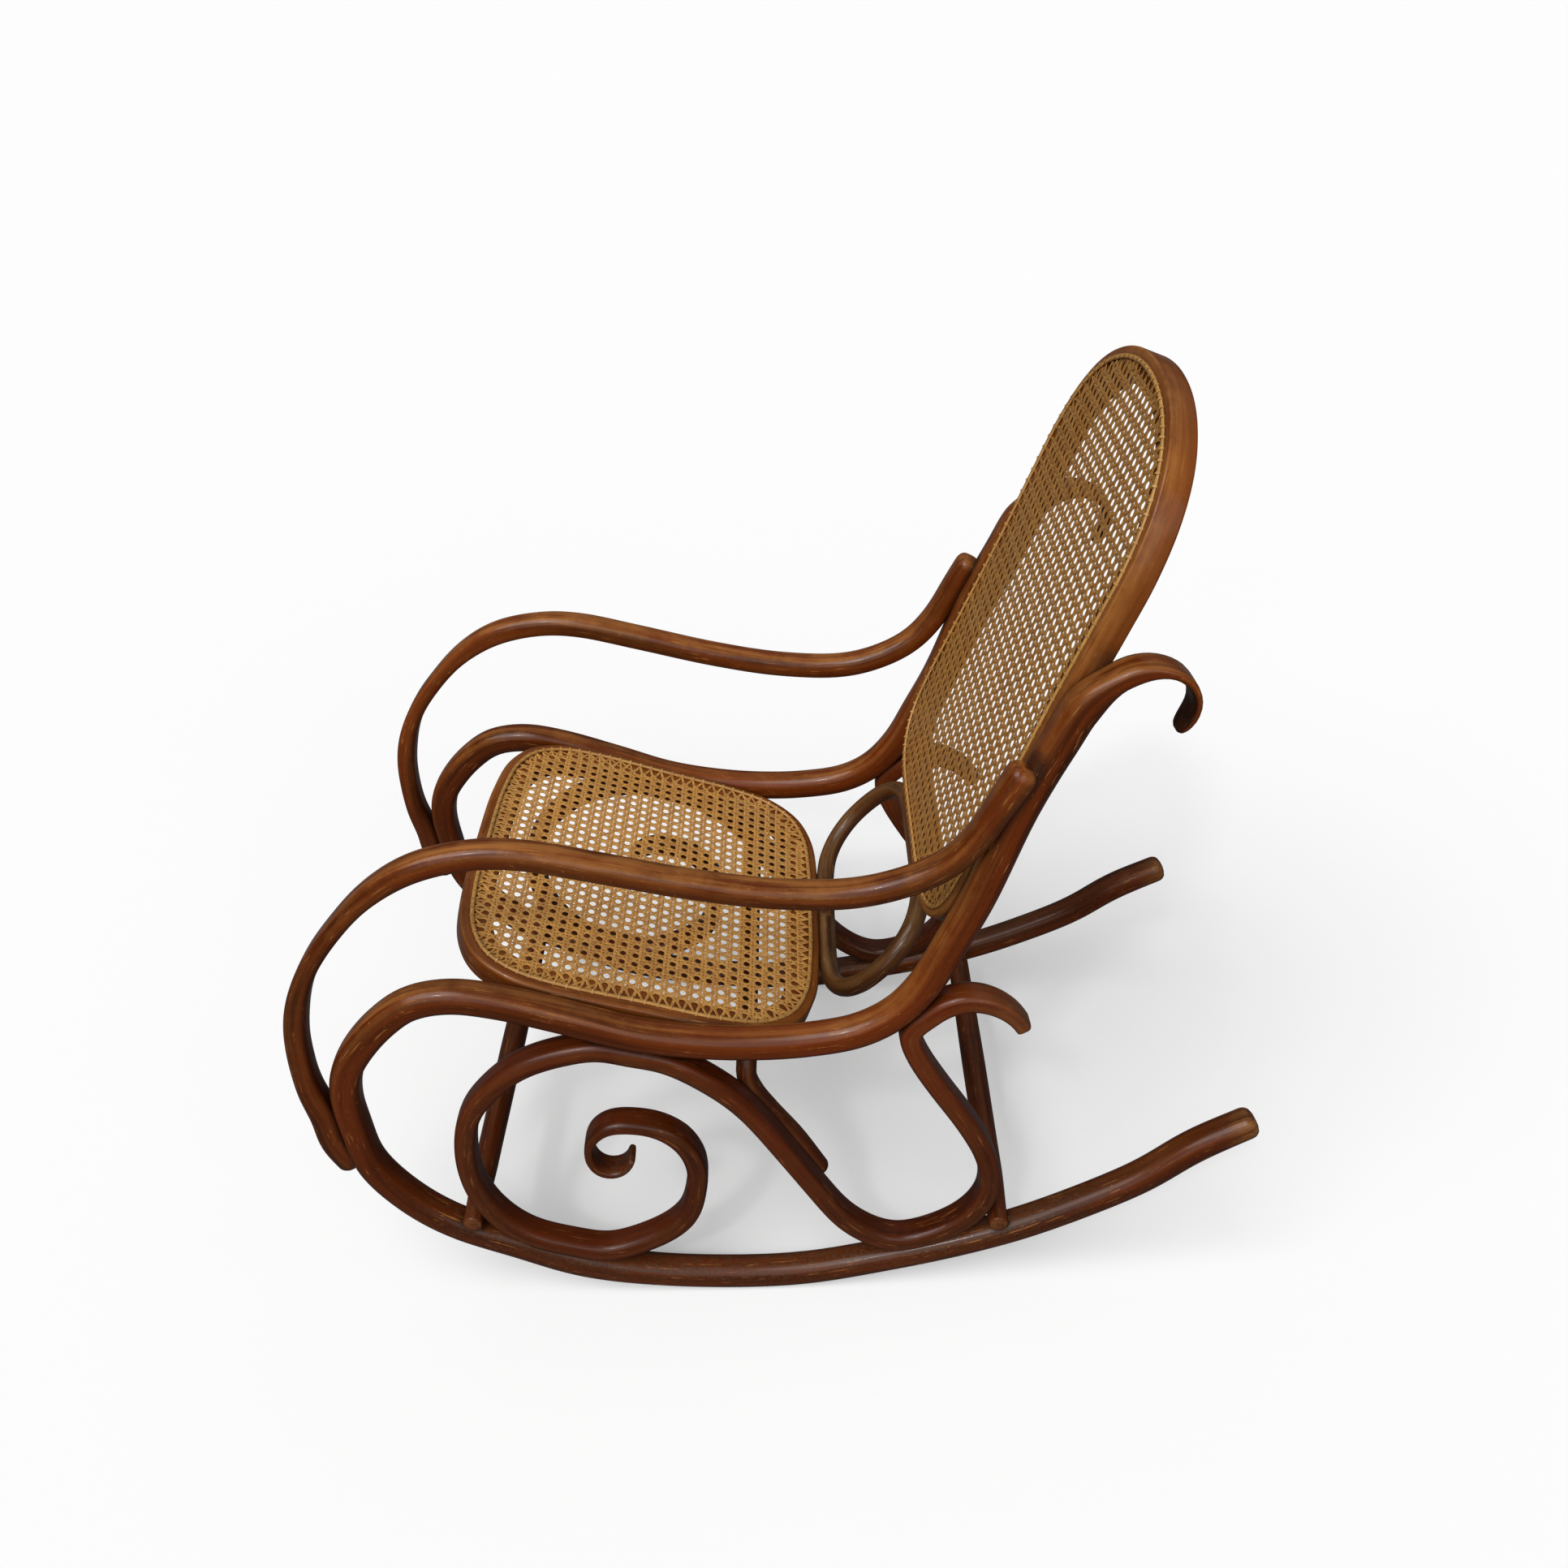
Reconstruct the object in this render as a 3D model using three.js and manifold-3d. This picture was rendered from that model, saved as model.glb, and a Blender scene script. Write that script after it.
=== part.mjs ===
// Bentwood rocking chair: two side frames of bent beech rods, with a caned seat and a caned back between them.
// Millimetres, +Z up, the sitter faces -Y, and +X is the sitter's left.
// The origin lies on the floor, under the middle of the chair.

import * as THREE from 'three';
import { mergeVertices } from 'three/addons/utils/BufferGeometryUtils.js';
import Module from 'manifold-3d';

const wasm = await Module();
wasm.setup();

// Overall form of a side frame: the outlines below are shares of this length and this height
const chairLength = 1014;
const chairHeight = 988;
const floorHalfSpread = 252.5;
const rearToeIn = 32;
const topLeanIn = 50;

// Bent rods: thickness lies in the plane of the side frame, width across it
const railDiameter = 32.5;
const railCurlThickness = 28.5;
const postTipThickness = 12;
const postTipWidth = 21;
const railTipRound = 11;
const postTipRound = 4;
const armThickness = 26;
const armWidth = 29;
const armFrontThickness = 23.5;
const armBendThickness = 18.5;
const armTipRound = 10;
const armRearShift = 10;
const scrollThickness = 23;
const scrollWidth = 31;
const scrollCurlThickness = 17;
const scrollTipThickness = 10;
const scrollTipRound = 5;
const bowDiameter = 22;
const bowTipRound = 8;
const bowBendRadius = 32;
const loopDiameter = 18;

// Runner wear and the fit between pieces
const runnerWear = 1.5;
const scribeDepth = 1.5;
const clearance = 0.3;

// Stretchers
const stretcherDiameter = 22;
const stretcherEndDiameter = 20;
const stretcherEndRound = 2;
const frontStretcherOverhang = 17;
const rearStretcherOverhang = 9;

// Seat frame
const seatFrameDepth = 26;
const seatFrameWidth = 34;

// Back frame
const backFrameDepth = 28;
const backFrameWidth = 30;

// Caning
const caneThickness = 1.6;
const canePitch = 38;
const caneStrand = 15;
const binderWidth = 5;
const binderThickness = 1.8;
const rimReveal = 9;
const frameEdgeRound = 5;

// Loop between seat and back
const loopHalfWidth = 153;
const loopDrop = 6;
const loopScrewSpread = 55;
const bowScrewInset = 7;

// Wood screws
const screwShankDiameter = 4.2;
const screwHeadDiameter = 8.4;
const screwHeadDepth = 2.6;
const screwTipLength = 4;
const screwSides = 8;
const screwBite = 13;
const screwSink = 0.4;

// Facets
const rodSides = 10;
const thinRodSides = 8;
const frameSteps = 40;
const loopSteps = 32;
const lathedSides = 12;
const railFacetLength = 72;
const rodFacetLength = 62;

// Points of the rail from the rear tip of the runner, round the front and up the post, as shares of length and height
const railShares = [
  [0.4955, 0.222],
  [0.434, 0.183],
  [0.387, 0.141],
  [0.322, 0.101],
  [0.254, 0.067],
  [0.183, 0.0415],
  [0.111, 0.022],
  [0.023, 0.0035],
  [-0.05, 0],
  [-0.151, 0.008],
  [-0.227, 0.0265],
  [-0.297, 0.06],
  [-0.363, 0.0945],
  [-0.407, 0.135],
  [-0.4415, 0.191],
  [-0.4495, 0.242],
  [-0.453, 0.291],
  [-0.4455, 0.328],
  [-0.426, 0.361],
  [-0.4025, 0.388],
  [-0.374, 0.41],
  [-0.335, 0.418],
  [-0.29, 0.4105],
  [-0.217, 0.386],
  [-0.155, 0.3635],
  [-0.091, 0.3515],
  [-0.029, 0.348],
  [0.023, 0.3515],
  [0.07, 0.362],
  [0.106, 0.385],
  [0.1345, 0.424],
  [0.154, 0.469],
  [0.178, 0.527],
  [0.211, 0.631],
  [0.2405, 0.702],
  [0.258, 0.74],
  [0.286, 0.7665],
  [0.313, 0.775],
  [0.336, 0.7695],
  [0.35, 0.754],
  [0.353, 0.736],
  [0.345, 0.718],
];

// Places of the arm rod from its lower front end to its rear end
const armShares = [
  [-0.4745, 0.194],
  [-0.4805, 0.226],
  [-0.4845, 0.262],
  [-0.4875, 0.3],
  [-0.49, 0.345],
  [-0.4875, 0.384],
  [-0.476, 0.43],
  [-0.459, 0.466],
  [-0.434, 0.502],
  [-0.397, 0.543],
  [-0.35, 0.574],
  [-0.294, 0.588],
  [-0.25, 0.587],
  [-0.18, 0.571],
  [-0.09, 0.549],
  [-0.01, 0.536],
  [0.066, 0.536],
  [0.116, 0.552],
  [0.148, 0.573],
  [0.172, 0.604],
  [0.189, 0.639],
  [0.21, 0.68],
];

// Places of the scroll rod from the inner tip of its curl to its rear end
const scrollShares = {
  curl: [
    [-0.166, 0.196],
    [-0.172, 0.18],
    [-0.188, 0.172],
    [-0.203, 0.178],
    [-0.212, 0.198],
    [-0.207, 0.225],
    [-0.189, 0.241],
    [-0.164, 0.242],
    [-0.138, 0.235],
    [-0.113, 0.214],
    [-0.099, 0.18],
    [-0.1, 0.144],
    [-0.111, 0.1005],
    [-0.141, 0.071],
    [-0.174, 0.055],
  ],
  frontFoot: [
    [-0.202, 0.046],
    [-0.228, 0.05],
  ],
  loop: [
    [-0.282, 0.073],
    [-0.318, 0.111],
    [-0.337, 0.158],
    [-0.3405, 0.212],
    [-0.33, 0.262],
    [-0.302, 0.301],
    [-0.27, 0.3275],
    [-0.225, 0.344],
  ],
  top: [
    [-0.19, 0.348],
    [-0.16, 0.342],
    [-0.13, 0.331],
  ],
  diagonal: [
    [-0.088, 0.304],
    [-0.05, 0.267],
    [0, 0.188],
    [0.03, 0.137],
    [0.061, 0.088],
    [0.087, 0.065],
  ],
  rearFoot: [
    [0.118, 0.055],
    [0.147, 0.06],
  ],
  rise: [
    [0.189, 0.08],
    [0.213, 0.113],
    [0.2175, 0.146],
    [0.208, 0.187],
    [0.186, 0.232],
    [0.149, 0.293],
    [0.1285, 0.332],
  ],
  neck: [
    [0.1235, 0.358],
    [0.133, 0.38],
  ],
  tail: [
    [0.155, 0.397],
    [0.18, 0.403],
    [0.206, 0.395],
    [0.2275, 0.377],
    [0.236, 0.363],
  ],
};

// Half outlines from the front or bottom middle to the rear or top middle: [share of half width, share of length]
const seatOutlineShares = [
  [0.42, 0.004],
  [0.7, 0.028],
  [0.87, 0.082],
  [0.965, 0.17],
  [1, 0.29],
  [1, 0.52],
  [0.995, 0.72],
  [0.95, 0.845],
  [0.83, 0.935],
  [0.64, 0.982],
  [0.36, 0.998],
];
const backOutlineShares = [
  [0.4, 0.002],
  [0.68, 0.014],
  [0.87, 0.05],
  [0.965, 0.1],
  [1, 0.17],
  [1, 0.34],
  [1, 0.52],
  [1, 0.68],
  [0.99, 0.762],
  [0.93, 0.837],
  [0.83, 0.893],
  [0.7, 0.934],
  [0.5, 0.97],
  [0.27, 0.992],
];
const loopOutlineShares = [
  [0.3, 0],
  [0.55, 0.012],
  [0.74, 0.055],
  [0.88, 0.15],
  [0.975, 0.31],
  [1, 0.5],
  [0.965, 0.7],
  [0.86, 0.86],
  [0.7, 0.955],
  [0.5, 0.993],
  [0.28, 1],
];

// Ends of the frames' faces, which lie between the side frames, as shares of length and height
const seatFrontShares = [-0.3452, 0.4585];
const seatRearShares = [0.0355, 0.3391];
const backBottomShares = [0.1307, 0.457];
const backTopShares = [0.3282, 0.9993];

// Where a frame stops narrowing with the posts, as a share of its length
const heldShare = 0.53;

// How the thickness of a rod goes along it: [share of its own length, thickness, width]
const railSections = [
  [0, railDiameter, railDiameter],
  [0.34, railDiameter, railDiameter],
  [0.4, railCurlThickness, railDiameter],
  [0.47, railCurlThickness, railDiameter],
  [0.53, railDiameter, railDiameter],
  [0.93, railDiameter, railDiameter],
  [0.955, railDiameter * 0.65, railDiameter * 0.85],
  [0.978, postTipThickness * 1.1, postTipWidth],
  [1, postTipThickness, postTipWidth],
];
const armSections = [
  [0, armFrontThickness, armWidth],
  [0.19, armFrontThickness, armWidth],
  [0.26, armBendThickness, armWidth],
  [0.31, armBendThickness, armWidth],
  [0.43, armThickness, armWidth],
  [1, armThickness, armWidth],
];
const scrollSections = [
  [0, scrollTipThickness, scrollWidth * 0.8],
  [0.03, scrollCurlThickness, scrollWidth * 0.9],
  [0.08, scrollCurlThickness, scrollWidth],
  [0.13, scrollThickness, scrollWidth],
  [0.95, scrollThickness, scrollWidth],
  [1, scrollTipThickness, scrollWidth * 0.8],
];

// Half the spread of the side frames at a place: they stand closer together at the rear and at the top
function sideX(y, z) {
  return floorHalfSpread - (rearToeIn * y) / chairLength - (topLeanIn * z) / chairHeight;
}

const sideNormal = new THREE.Vector3(1, rearToeIn / chairLength, topLeanIn / chairHeight).normalize();

// A place of a side outline in the plane x = 0
function place([alongShare, upShare]) {
  const lowest = railDiameter / 2 - runnerWear;
  return new THREE.Vector3(0, alongShare * chairLength, lowest + upShare * chairHeight);
}

function smoothCurve(points, closed = false) {
  const curve = new THREE.CatmullRomCurve3(points, closed, 'centripetal');
  curve.arcLengthDivisions = 1200;
  return curve;
}

const railOutline = smoothCurve(railShares.map(place));

// Value of a section table at a share of the length, eased between its rows
function sectionAt(sections, share) {
  const last = sections.length - 1;
  let index = 0;
  while (index < last - 1 && share > sections[index + 1][0]) {
    index += 1;
  }
  const [startShare, startThickness, startWidth] = sections[index];
  const [endShare, endThickness, endWidth] = sections[index + 1];
  const part = THREE.MathUtils.smoothstep(share, startShare, endShare);
  return {
    thickness: THREE.MathUtils.lerp(startThickness, endThickness, part),
    width: THREE.MathUtils.lerp(startWidth, endWidth, part),
  };
}

// Share of a curve's length at which it passes closest to a point
function closestShare(curve, point, samples = 1600) {
  let best = 0;
  let bestDistance = Infinity;
  for (let index = 0; index <= samples; index += 1) {
    const distance = curve.getPointAt(index / samples).distanceToSquared(point);
    if (distance < bestDistance) {
      bestDistance = distance;
      best = index / samples;
    }
  }
  return best;
}

// Moves a place along the rail's normal until a rod of that thickness is scribed onto the rail
function besideRail(point, thickness) {
  const share = closestShare(railOutline, point);
  const onRail = railOutline.getPointAt(share);
  const normal = new THREE.Vector3(1, 0, 0).cross(railOutline.getTangentAt(share)).normalize();
  const side = Math.sign(normal.dot(point.clone().sub(onRail)));
  const distance = (sectionAt(railSections, share).thickness + thickness) / 2 - scribeDepth;
  return onRail.addScaledVector(normal, side * distance);
}

// Puts an outline into the leaning plane of the left side frame, moved outwards by shift(share)
function ontoSide(outline, count, shift = () => 0) {
  const points = [];
  for (let index = 0; index <= count; index += 1) {
    const share = index / count;
    const point = outline.getPointAt(share);
    point.x = sideX(point.y, point.z) + shift(share);
    points.push(point);
  }
  return smoothCurve(points);
}

// Shares at which a rod gets a ring: closer where it bends
function ringShares(curve, maxTurn, maxLength, samples = 900) {
  const length = curve.getLength();
  const shares = [0];
  let turned = 0;
  let passed = 0;
  let before = curve.getTangentAt(0);
  for (let index = 1; index <= samples; index += 1) {
    const tangent = curve.getTangentAt(index / samples);
    turned += tangent.angleTo(before);
    passed += length / samples;
    before = tangent;
    if (turned >= maxTurn || passed >= maxLength) {
      shares.push(index / samples);
      turned = 0;
      passed = 0;
    }
  }
  return shares;
}

// Closed surface through rings of equal count: open runs get flat end caps, closed runs none
function ringsToGeometry(rings, closedRun) {
  const count = rings[0].length;
  const positions = rings.flat().flatMap((point) => [point.x, point.y, point.z]);
  const indices = [];
  const runs = closedRun ? rings.length : rings.length - 1;
  for (let ring = 0; ring < runs; ring += 1) {
    const next = (ring + 1) % rings.length;
    for (let side = 0; side < count; side += 1) {
      const beside = (side + 1) % count;
      const a = ring * count + side;
      const b = ring * count + beside;
      const c = next * count + side;
      const d = next * count + beside;
      indices.push(a, b, d, a, d, c);
    }
  }
  if (!closedRun) {
    const lastStart = (rings.length - 1) * count;
    for (let side = 1; side < count - 1; side += 1) {
      indices.push(0, side + 1, side);
      indices.push(lastStart, lastStart + side, lastStart + side + 1);
    }
  }
  const geometry = new THREE.BufferGeometry();
  geometry.setAttribute('position', new THREE.Float32BufferAttribute(positions, 3));
  geometry.setIndex(indices);
  return facingOut(geometry);
}

// Turns the faces round when the signed volume is negative
function facingOut(geometry) {
  const positions = geometry.getAttribute('position');
  const indices = geometry.getIndex().array;
  const [a, b, c] = [new THREE.Vector3(), new THREE.Vector3(), new THREE.Vector3()];
  let volume = 0;
  for (let index = 0; index < indices.length; index += 3) {
    a.fromBufferAttribute(positions, indices[index]);
    b.fromBufferAttribute(positions, indices[index + 1]);
    c.fromBufferAttribute(positions, indices[index + 2]);
    volume += a.dot(b.cross(c));
  }
  if (volume < 0) {
    for (let index = 0; index < indices.length; index += 3) {
      [indices[index + 1], indices[index + 2]] = [indices[index + 2], indices[index + 1]];
    }
  }
  return geometry;
}

// How far the corners of a regular polygon stand out when its area is that of the round section
function cornerReach(sides) {
  return Math.sqrt((2 * Math.PI) / (sides * Math.sin((2 * Math.PI) / sides)));
}

// A bent rod with an oval section and rounded ends; lateral is the direction of the section's width
function bentRod(curve, sections, options) {
  const { lateral, startRound, endRound, grow = 0, sides = rodSides } = options;
  const { maxTurn = 0.22, maxLength = rodFacetLength } = options;
  const length = curve.getLength();
  const stations = ringShares(curve, maxTurn, maxLength).map((share) => ({ share, scale: 1 }));
  const tipSteps = [
    [0, 0.5],
    [0.35, 0.86],
  ];
  const startShare = startRound / length;
  const endShare = 1 - endRound / length;
  const inner = stations.filter(({ share }) => share > startShare * 1.2 && share < 1 - (1 - endShare) * 1.2);
  const opening = tipSteps.map(([part, scale]) => ({ share: part * startShare, scale }));
  const closing = tipSteps.map(([part, scale]) => ({ share: 1 - part * (1 - endShare), scale })).reverse();
  const all = [...opening, { share: startShare, scale: 1 }, ...inner, { share: endShare, scale: 1 }, ...closing];
  const reach = cornerReach(sides);
  const rings = [];
  let width = lateral.clone();
  for (const { share, scale } of all) {
    const centre = curve.getPointAt(share);
    const tangent = curve.getTangentAt(share);
    width = width.clone().addScaledVector(tangent, -width.dot(tangent)).normalize();
    const depth = tangent.clone().cross(width).normalize();
    const size = sectionAt(sections, share);
    const ring = [];
    for (let side = 0; side < sides; side += 1) {
      const angle = ((side + 0.5) / sides) * 2 * Math.PI;
      const across = (size.width / 2 + grow) * scale * reach * Math.sin(angle);
      const along = (size.thickness / 2 + grow) * scale * reach * Math.cos(angle);
      ring.push(centre.clone().addScaledVector(width, across).addScaledVector(depth, along));
    }
    rings.push(ring);
  }
  return ringsToGeometry(rings, false);
}

function toSolid(geometry) {
  const plain = geometry.clone();
  plain.deleteAttribute('normal');
  plain.deleteAttribute('uv');
  const merged = mergeVertices(plain, 1e-4);
  const mesh = new wasm.Mesh({
    numProp: 3,
    vertProperties: new Float32Array(merged.getAttribute('position').array),
    triVerts: new Uint32Array(merged.getIndex().array),
  });
  return new wasm.Manifold(mesh);
}

function toGeometry(solid) {
  const mesh = solid.getMesh();
  const geometry = new THREE.BufferGeometry();
  geometry.setAttribute('position', new THREE.Float32BufferAttribute(mesh.vertProperties, 3));
  geometry.setIndex(Array.from(mesh.triVerts));
  return geometry;
}

function cut(solid, tools) {
  return tools.reduce((rest, tool) => rest.subtract(tool), solid);
}

// The same piece on the other side of the chair
function mirrored(geometry) {
  const copy = geometry.clone();
  const positions = copy.getAttribute('position');
  for (let index = 0; index < positions.count; index += 1) {
    positions.setX(index, -positions.getX(index));
  }
  return facingOut(copy);
}

// Lathed shape from [radius, height] points, its axis turned from +Y to a direction and its foot put at a point
function lathed(profile, sides, foot, direction) {
  const points = profile.map(([radius, height]) => new THREE.Vector2(radius, height));
  const geometry = new THREE.LatheGeometry(points, sides);
  geometry.deleteAttribute('normal');
  geometry.deleteAttribute('uv');
  const merged = mergeVertices(geometry, 1e-4);
  const turn = new THREE.Quaternion().setFromUnitVectors(new THREE.Vector3(0, 1, 0), direction);
  merged.applyQuaternion(turn);
  merged.translate(foot.x, foot.y, foot.z);
  return facingOut(withoutFlatFaces(merged));
}

// Drops the faces of no area that a revolve leaves on its axis
function withoutFlatFaces(geometry) {
  const indices = geometry.getIndex().array;
  const kept = [];
  for (let index = 0; index < indices.length; index += 3) {
    const [a, b, c] = [indices[index], indices[index + 1], indices[index + 2]];
    if (a !== b && b !== c && c !== a) {
      kept.push(a, b, c);
    }
  }
  geometry.setIndex(kept);
  return geometry;
}

// A countersunk wood screw and the bore that takes it, from the head's face along a direction
function woodScrew(head, direction, length) {
  const unit = direction.clone().normalize();
  const foot = head.clone().addScaledVector(unit, screwSink);
  const shankRadius = screwShankDiameter / 2;
  const headRadius = screwHeadDiameter / 2;
  const profile = [
    [0, 0],
    [headRadius, 0],
    [shankRadius, screwHeadDepth],
    [shankRadius, length - screwTipLength],
    [0, length],
  ];
  const bore = [
    [0, -screwHeadDiameter],
    [headRadius + clearance, -screwHeadDiameter],
    [headRadius + clearance, 0],
    [shankRadius + clearance, screwHeadDepth + clearance],
    [shankRadius + clearance, length + clearance],
    [0, length + clearance],
  ];
  return {
    geometry: lathed(profile, screwSides, foot, unit),
    bore: toSolid(lathed(bore, screwSides, foot, unit)),
  };
}

// The chair's pieces, collected with their materials
const chair = new THREE.Group();

const finishes = {
  beech: { color: 0x5a2f17, roughness: 0.38, metalness: 0 },
  cane: { color: 0xb98c4a, roughness: 0.6, metalness: 0 },
  binder: { color: 0xa5793d, roughness: 0.55, metalness: 0 },
  steel: { color: 0x8c857a, roughness: 0.4, metalness: 0.9 },
};

function addPiece(name, geometry, finish) {
  const piece = new THREE.Mesh(geometry, new THREE.MeshStandardMaterial(finishes[finish]));
  piece.name = name;
  chair.add(piece);
}

function addPair(name, geometry, finish) {
  addPiece(`left_${name}`, geometry, finish);
  addPiece(`right_${name}`, mirrored(geometry), finish);
}

// Side rail: runner, front curl, seat rail and post in one rod
const railCurve = ontoSide(railOutline, 120);

function railRod(grow) {
  return bentRod(railCurve, railSections, {
    lateral: sideNormal,
    startRound: railTipRound,
    endRound: postTipRound,
    grow,
    maxTurn: 0.23,
    maxLength: railFacetLength,
  });
}

const railSolid = toSolid(railRod(0));
const railFit = toSolid(railRod(clearance));
const railFits = [railFit, toSolid(mirrored(railRod(clearance)))];

// Scroll rod: curl, big loop on the runner, top under the seat rail, second foot and rear curl
const snap = (thickness) => (shares) => besideRail(place(shares), thickness);
const scrollOutline = smoothCurve([
  ...scrollShares.curl.map(place),
  ...scrollShares.frontFoot.map(snap(scrollThickness)),
  ...scrollShares.loop.map(place),
  ...scrollShares.top.map(snap(scrollThickness)),
  ...scrollShares.diagonal.map(place),
  ...scrollShares.rearFoot.map(snap(scrollThickness)),
  ...scrollShares.rise.map(place),
  ...scrollShares.neck.map(snap(scrollThickness)),
  ...scrollShares.tail.map(place),
]);
const scrollCurve = ontoSide(scrollOutline, 160);

function scrollRod(grow) {
  return bentRod(scrollCurve, scrollSections, {
    lateral: sideNormal,
    startRound: scrollTipRound,
    endRound: scrollTipRound,
    grow,
    sides: thinRodSides,
    maxTurn: 0.33,
  });
}

const scrollSolid = toSolid(scrollRod(0));
const scrollFits = [toSolid(scrollRod(clearance)), toSolid(mirrored(scrollRod(clearance)))];

// Arm: screwed to the front curl below and to the post behind
const armLowerCount = 3;
const armOutline = smoothCurve(
  armShares.map((shares, index) => {
    const point = place(shares);
    return index < armLowerCount ? besideRail(point, armFrontThickness) : point;
  }),
);
const armCurve = ontoSide(armOutline, 90, (share) => {
  return armRearShift * THREE.MathUtils.smoothstep(share, 0.8, 0.97);
});

const armSolid = toSolid(
  bentRod(armCurve, armSections, {
    lateral: sideNormal,
    startRound: armTipRound,
    endRound: armTipRound,
    maxTurn: 0.2,
  }),
);

// Plane of a frame's face: run goes rearwards or upwards, face is the direction out of the upper or front side
function facePlane(startShares, endShares) {
  const start = new THREE.Vector3(0, startShares[0] * chairLength, startShares[1] * chairHeight);
  const run = new THREE.Vector3(0, endShares[0] * chairLength, endShares[1] * chairHeight).sub(start);
  const length = run.length();
  run.normalize();
  return { start, run, length, face: new THREE.Vector3(1, 0, 0).cross(run) };
}

const seatPlane = facePlane(seatFrontShares, seatRearShares);
const backPlane = facePlane(backBottomShares, backTopShares);

// Point of a frame's plane, below its face by depth
function onPlane(plane, across, along, depth) {
  const point = plane.start.clone().addScaledVector(plane.run, along).addScaledVector(plane.face, -depth);
  point.x = across;
  return point;
}

// Room for a frame between the two side frames at a place
function halfRoom(plane, along, depth) {
  const point = onPlane(plane, 0, along, depth);
  return sideX(point.y, point.z) - railDiameter / 2 + scribeDepth;
}

// Closed outline in a frame's own plane, x across and y along
function frameOutline(plane, halfShares, depth) {
  const half = halfShares.map(([acrossShare, alongShare]) => {
    const held = Math.min(alongShare, heldShare) * plane.length;
    return new THREE.Vector3(acrossShare * halfRoom(plane, held, depth), alongShare * plane.length, 0);
  });
  const front = new THREE.Vector3(0, 0, 0);
  const rear = new THREE.Vector3(0, plane.length, 0);
  const other = half.map((point) => new THREE.Vector3(-point.x, point.y, 0)).reverse();
  return smoothCurve([front, ...half, rear, ...other], true);
}

// Outline points moved inwards by inset
function insetOutline(outline, inset, steps = frameSteps) {
  const points = [];
  for (let index = 0; index < steps; index += 1) {
    const share = index / steps;
    const point = outline.getPointAt(share);
    const tangent = outline.getTangentAt(share);
    points.push(point.add(new THREE.Vector3(-tangent.y, tangent.x, 0).multiplyScalar(inset)));
  }
  return points;
}

// Ring swept round an outline; the section lists [inset, depth] points
function sweptFrame(plane, outline, section) {
  const loops = section.map(([inset, depth]) =>
    insetOutline(outline, inset).map((point) => onPlane(plane, point.x, point.y, depth)),
  );
  const rings = loops[0].map((_, step) => loops.map((loop) => loop[step]));
  return ringsToGeometry(rings, true);
}

// Frame section with a rebate for the cane and a rounded outer edge
function rebatedSection(width, depth) {
  const rebateInset = rimReveal + binderWidth - clearance;
  const rebateDepth = caneThickness + clearance;
  return [
    [frameEdgeRound, 0],
    [rebateInset, 0],
    [rebateInset, rebateDepth],
    [width, rebateDepth],
    [width, depth],
    [frameEdgeRound, depth],
    [0, depth - frameEdgeRound],
    [0, frameEdgeRound],
  ];
}

// Flat net of cane: a closed sheet with square gaps in rows
function caneWeb(plane, outline, frameWidth) {
  const edge = insetOutline(outline, rimReveal + binderWidth).map((point) => new THREE.Vector2(point.x, point.y));
  const bound = insetOutline(outline, frameWidth);
  const half = (canePitch - caneStrand) / 2;
  const columns = Math.ceil(outline.getLength() / 4 / canePitch);
  const rows = Math.ceil(plane.length / canePitch);
  const gaps = [];
  for (let column = -columns; column <= columns; column += 1) {
    for (let row = 0; row <= rows; row += 1) {
      const x = column * canePitch;
      const y = plane.length / 2 + (row - rows / 2) * canePitch;
      const corners = [
        [x - half, y - half],
        [x + half, y - half],
        [x + half, y + half],
        [x - half, y + half],
      ];
      if (corners.every(([cornerX, cornerY]) => insidePolygon(cornerX, cornerY, bound))) {
        const gap = new THREE.BoxGeometry(half * 2, half * 2, caneThickness * 3);
        gaps.push(toSolid(gap.translate(x, y, caneThickness / 2)));
      }
    }
  }
  const sheet = new THREE.ExtrudeGeometry(new THREE.Shape(edge), { depth: caneThickness, bevelEnabled: false });
  const geometry = toGeometry(cut(toSolid(sheet), gaps));
  const positions = geometry.getAttribute('position');
  for (let index = 0; index < positions.count; index += 1) {
    const point = onPlane(plane, positions.getX(index), positions.getY(index), positions.getZ(index));
    positions.setXYZ(index, point.x, point.y, point.z);
  }
  return facingOut(geometry);
}

function insidePolygon(x, y, polygon) {
  let inside = false;
  for (let index = 0, before = polygon.length - 1; index < polygon.length; before = index, index += 1) {
    const a = polygon[index];
    const b = polygon[before];
    if (a.y > y !== b.y > y && x < ((b.x - a.x) * (y - a.y)) / (b.y - a.y) + a.x) {
      inside = !inside;
    }
  }
  return inside;
}

// Binder strip over the edge of the cane
function binderSection() {
  const inner = rimReveal + binderWidth;
  return [
    [rimReveal, -clearance],
    [rimReveal, -clearance - binderThickness / 2],
    [rimReveal + binderWidth * 0.3, -clearance - binderThickness],
    [inner + binderWidth * 0.3, -clearance - binderThickness],
    [inner + binderWidth * 0.6, -clearance - binderThickness / 2],
    [inner + binderWidth * 0.6, -clearance],
  ];
}

const seatOutline = frameOutline(seatPlane, seatOutlineShares, seatFrameDepth / 2);
const backOutline = frameOutline(backPlane, backOutlineShares, backFrameDepth / 2);
const seatFrameSolid = toSolid(sweptFrame(seatPlane, seatOutline, rebatedSection(seatFrameWidth, seatFrameDepth)));
const backFrameSolid = toSolid(sweptFrame(backPlane, backOutline, rebatedSection(backFrameWidth, backFrameDepth)));

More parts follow.
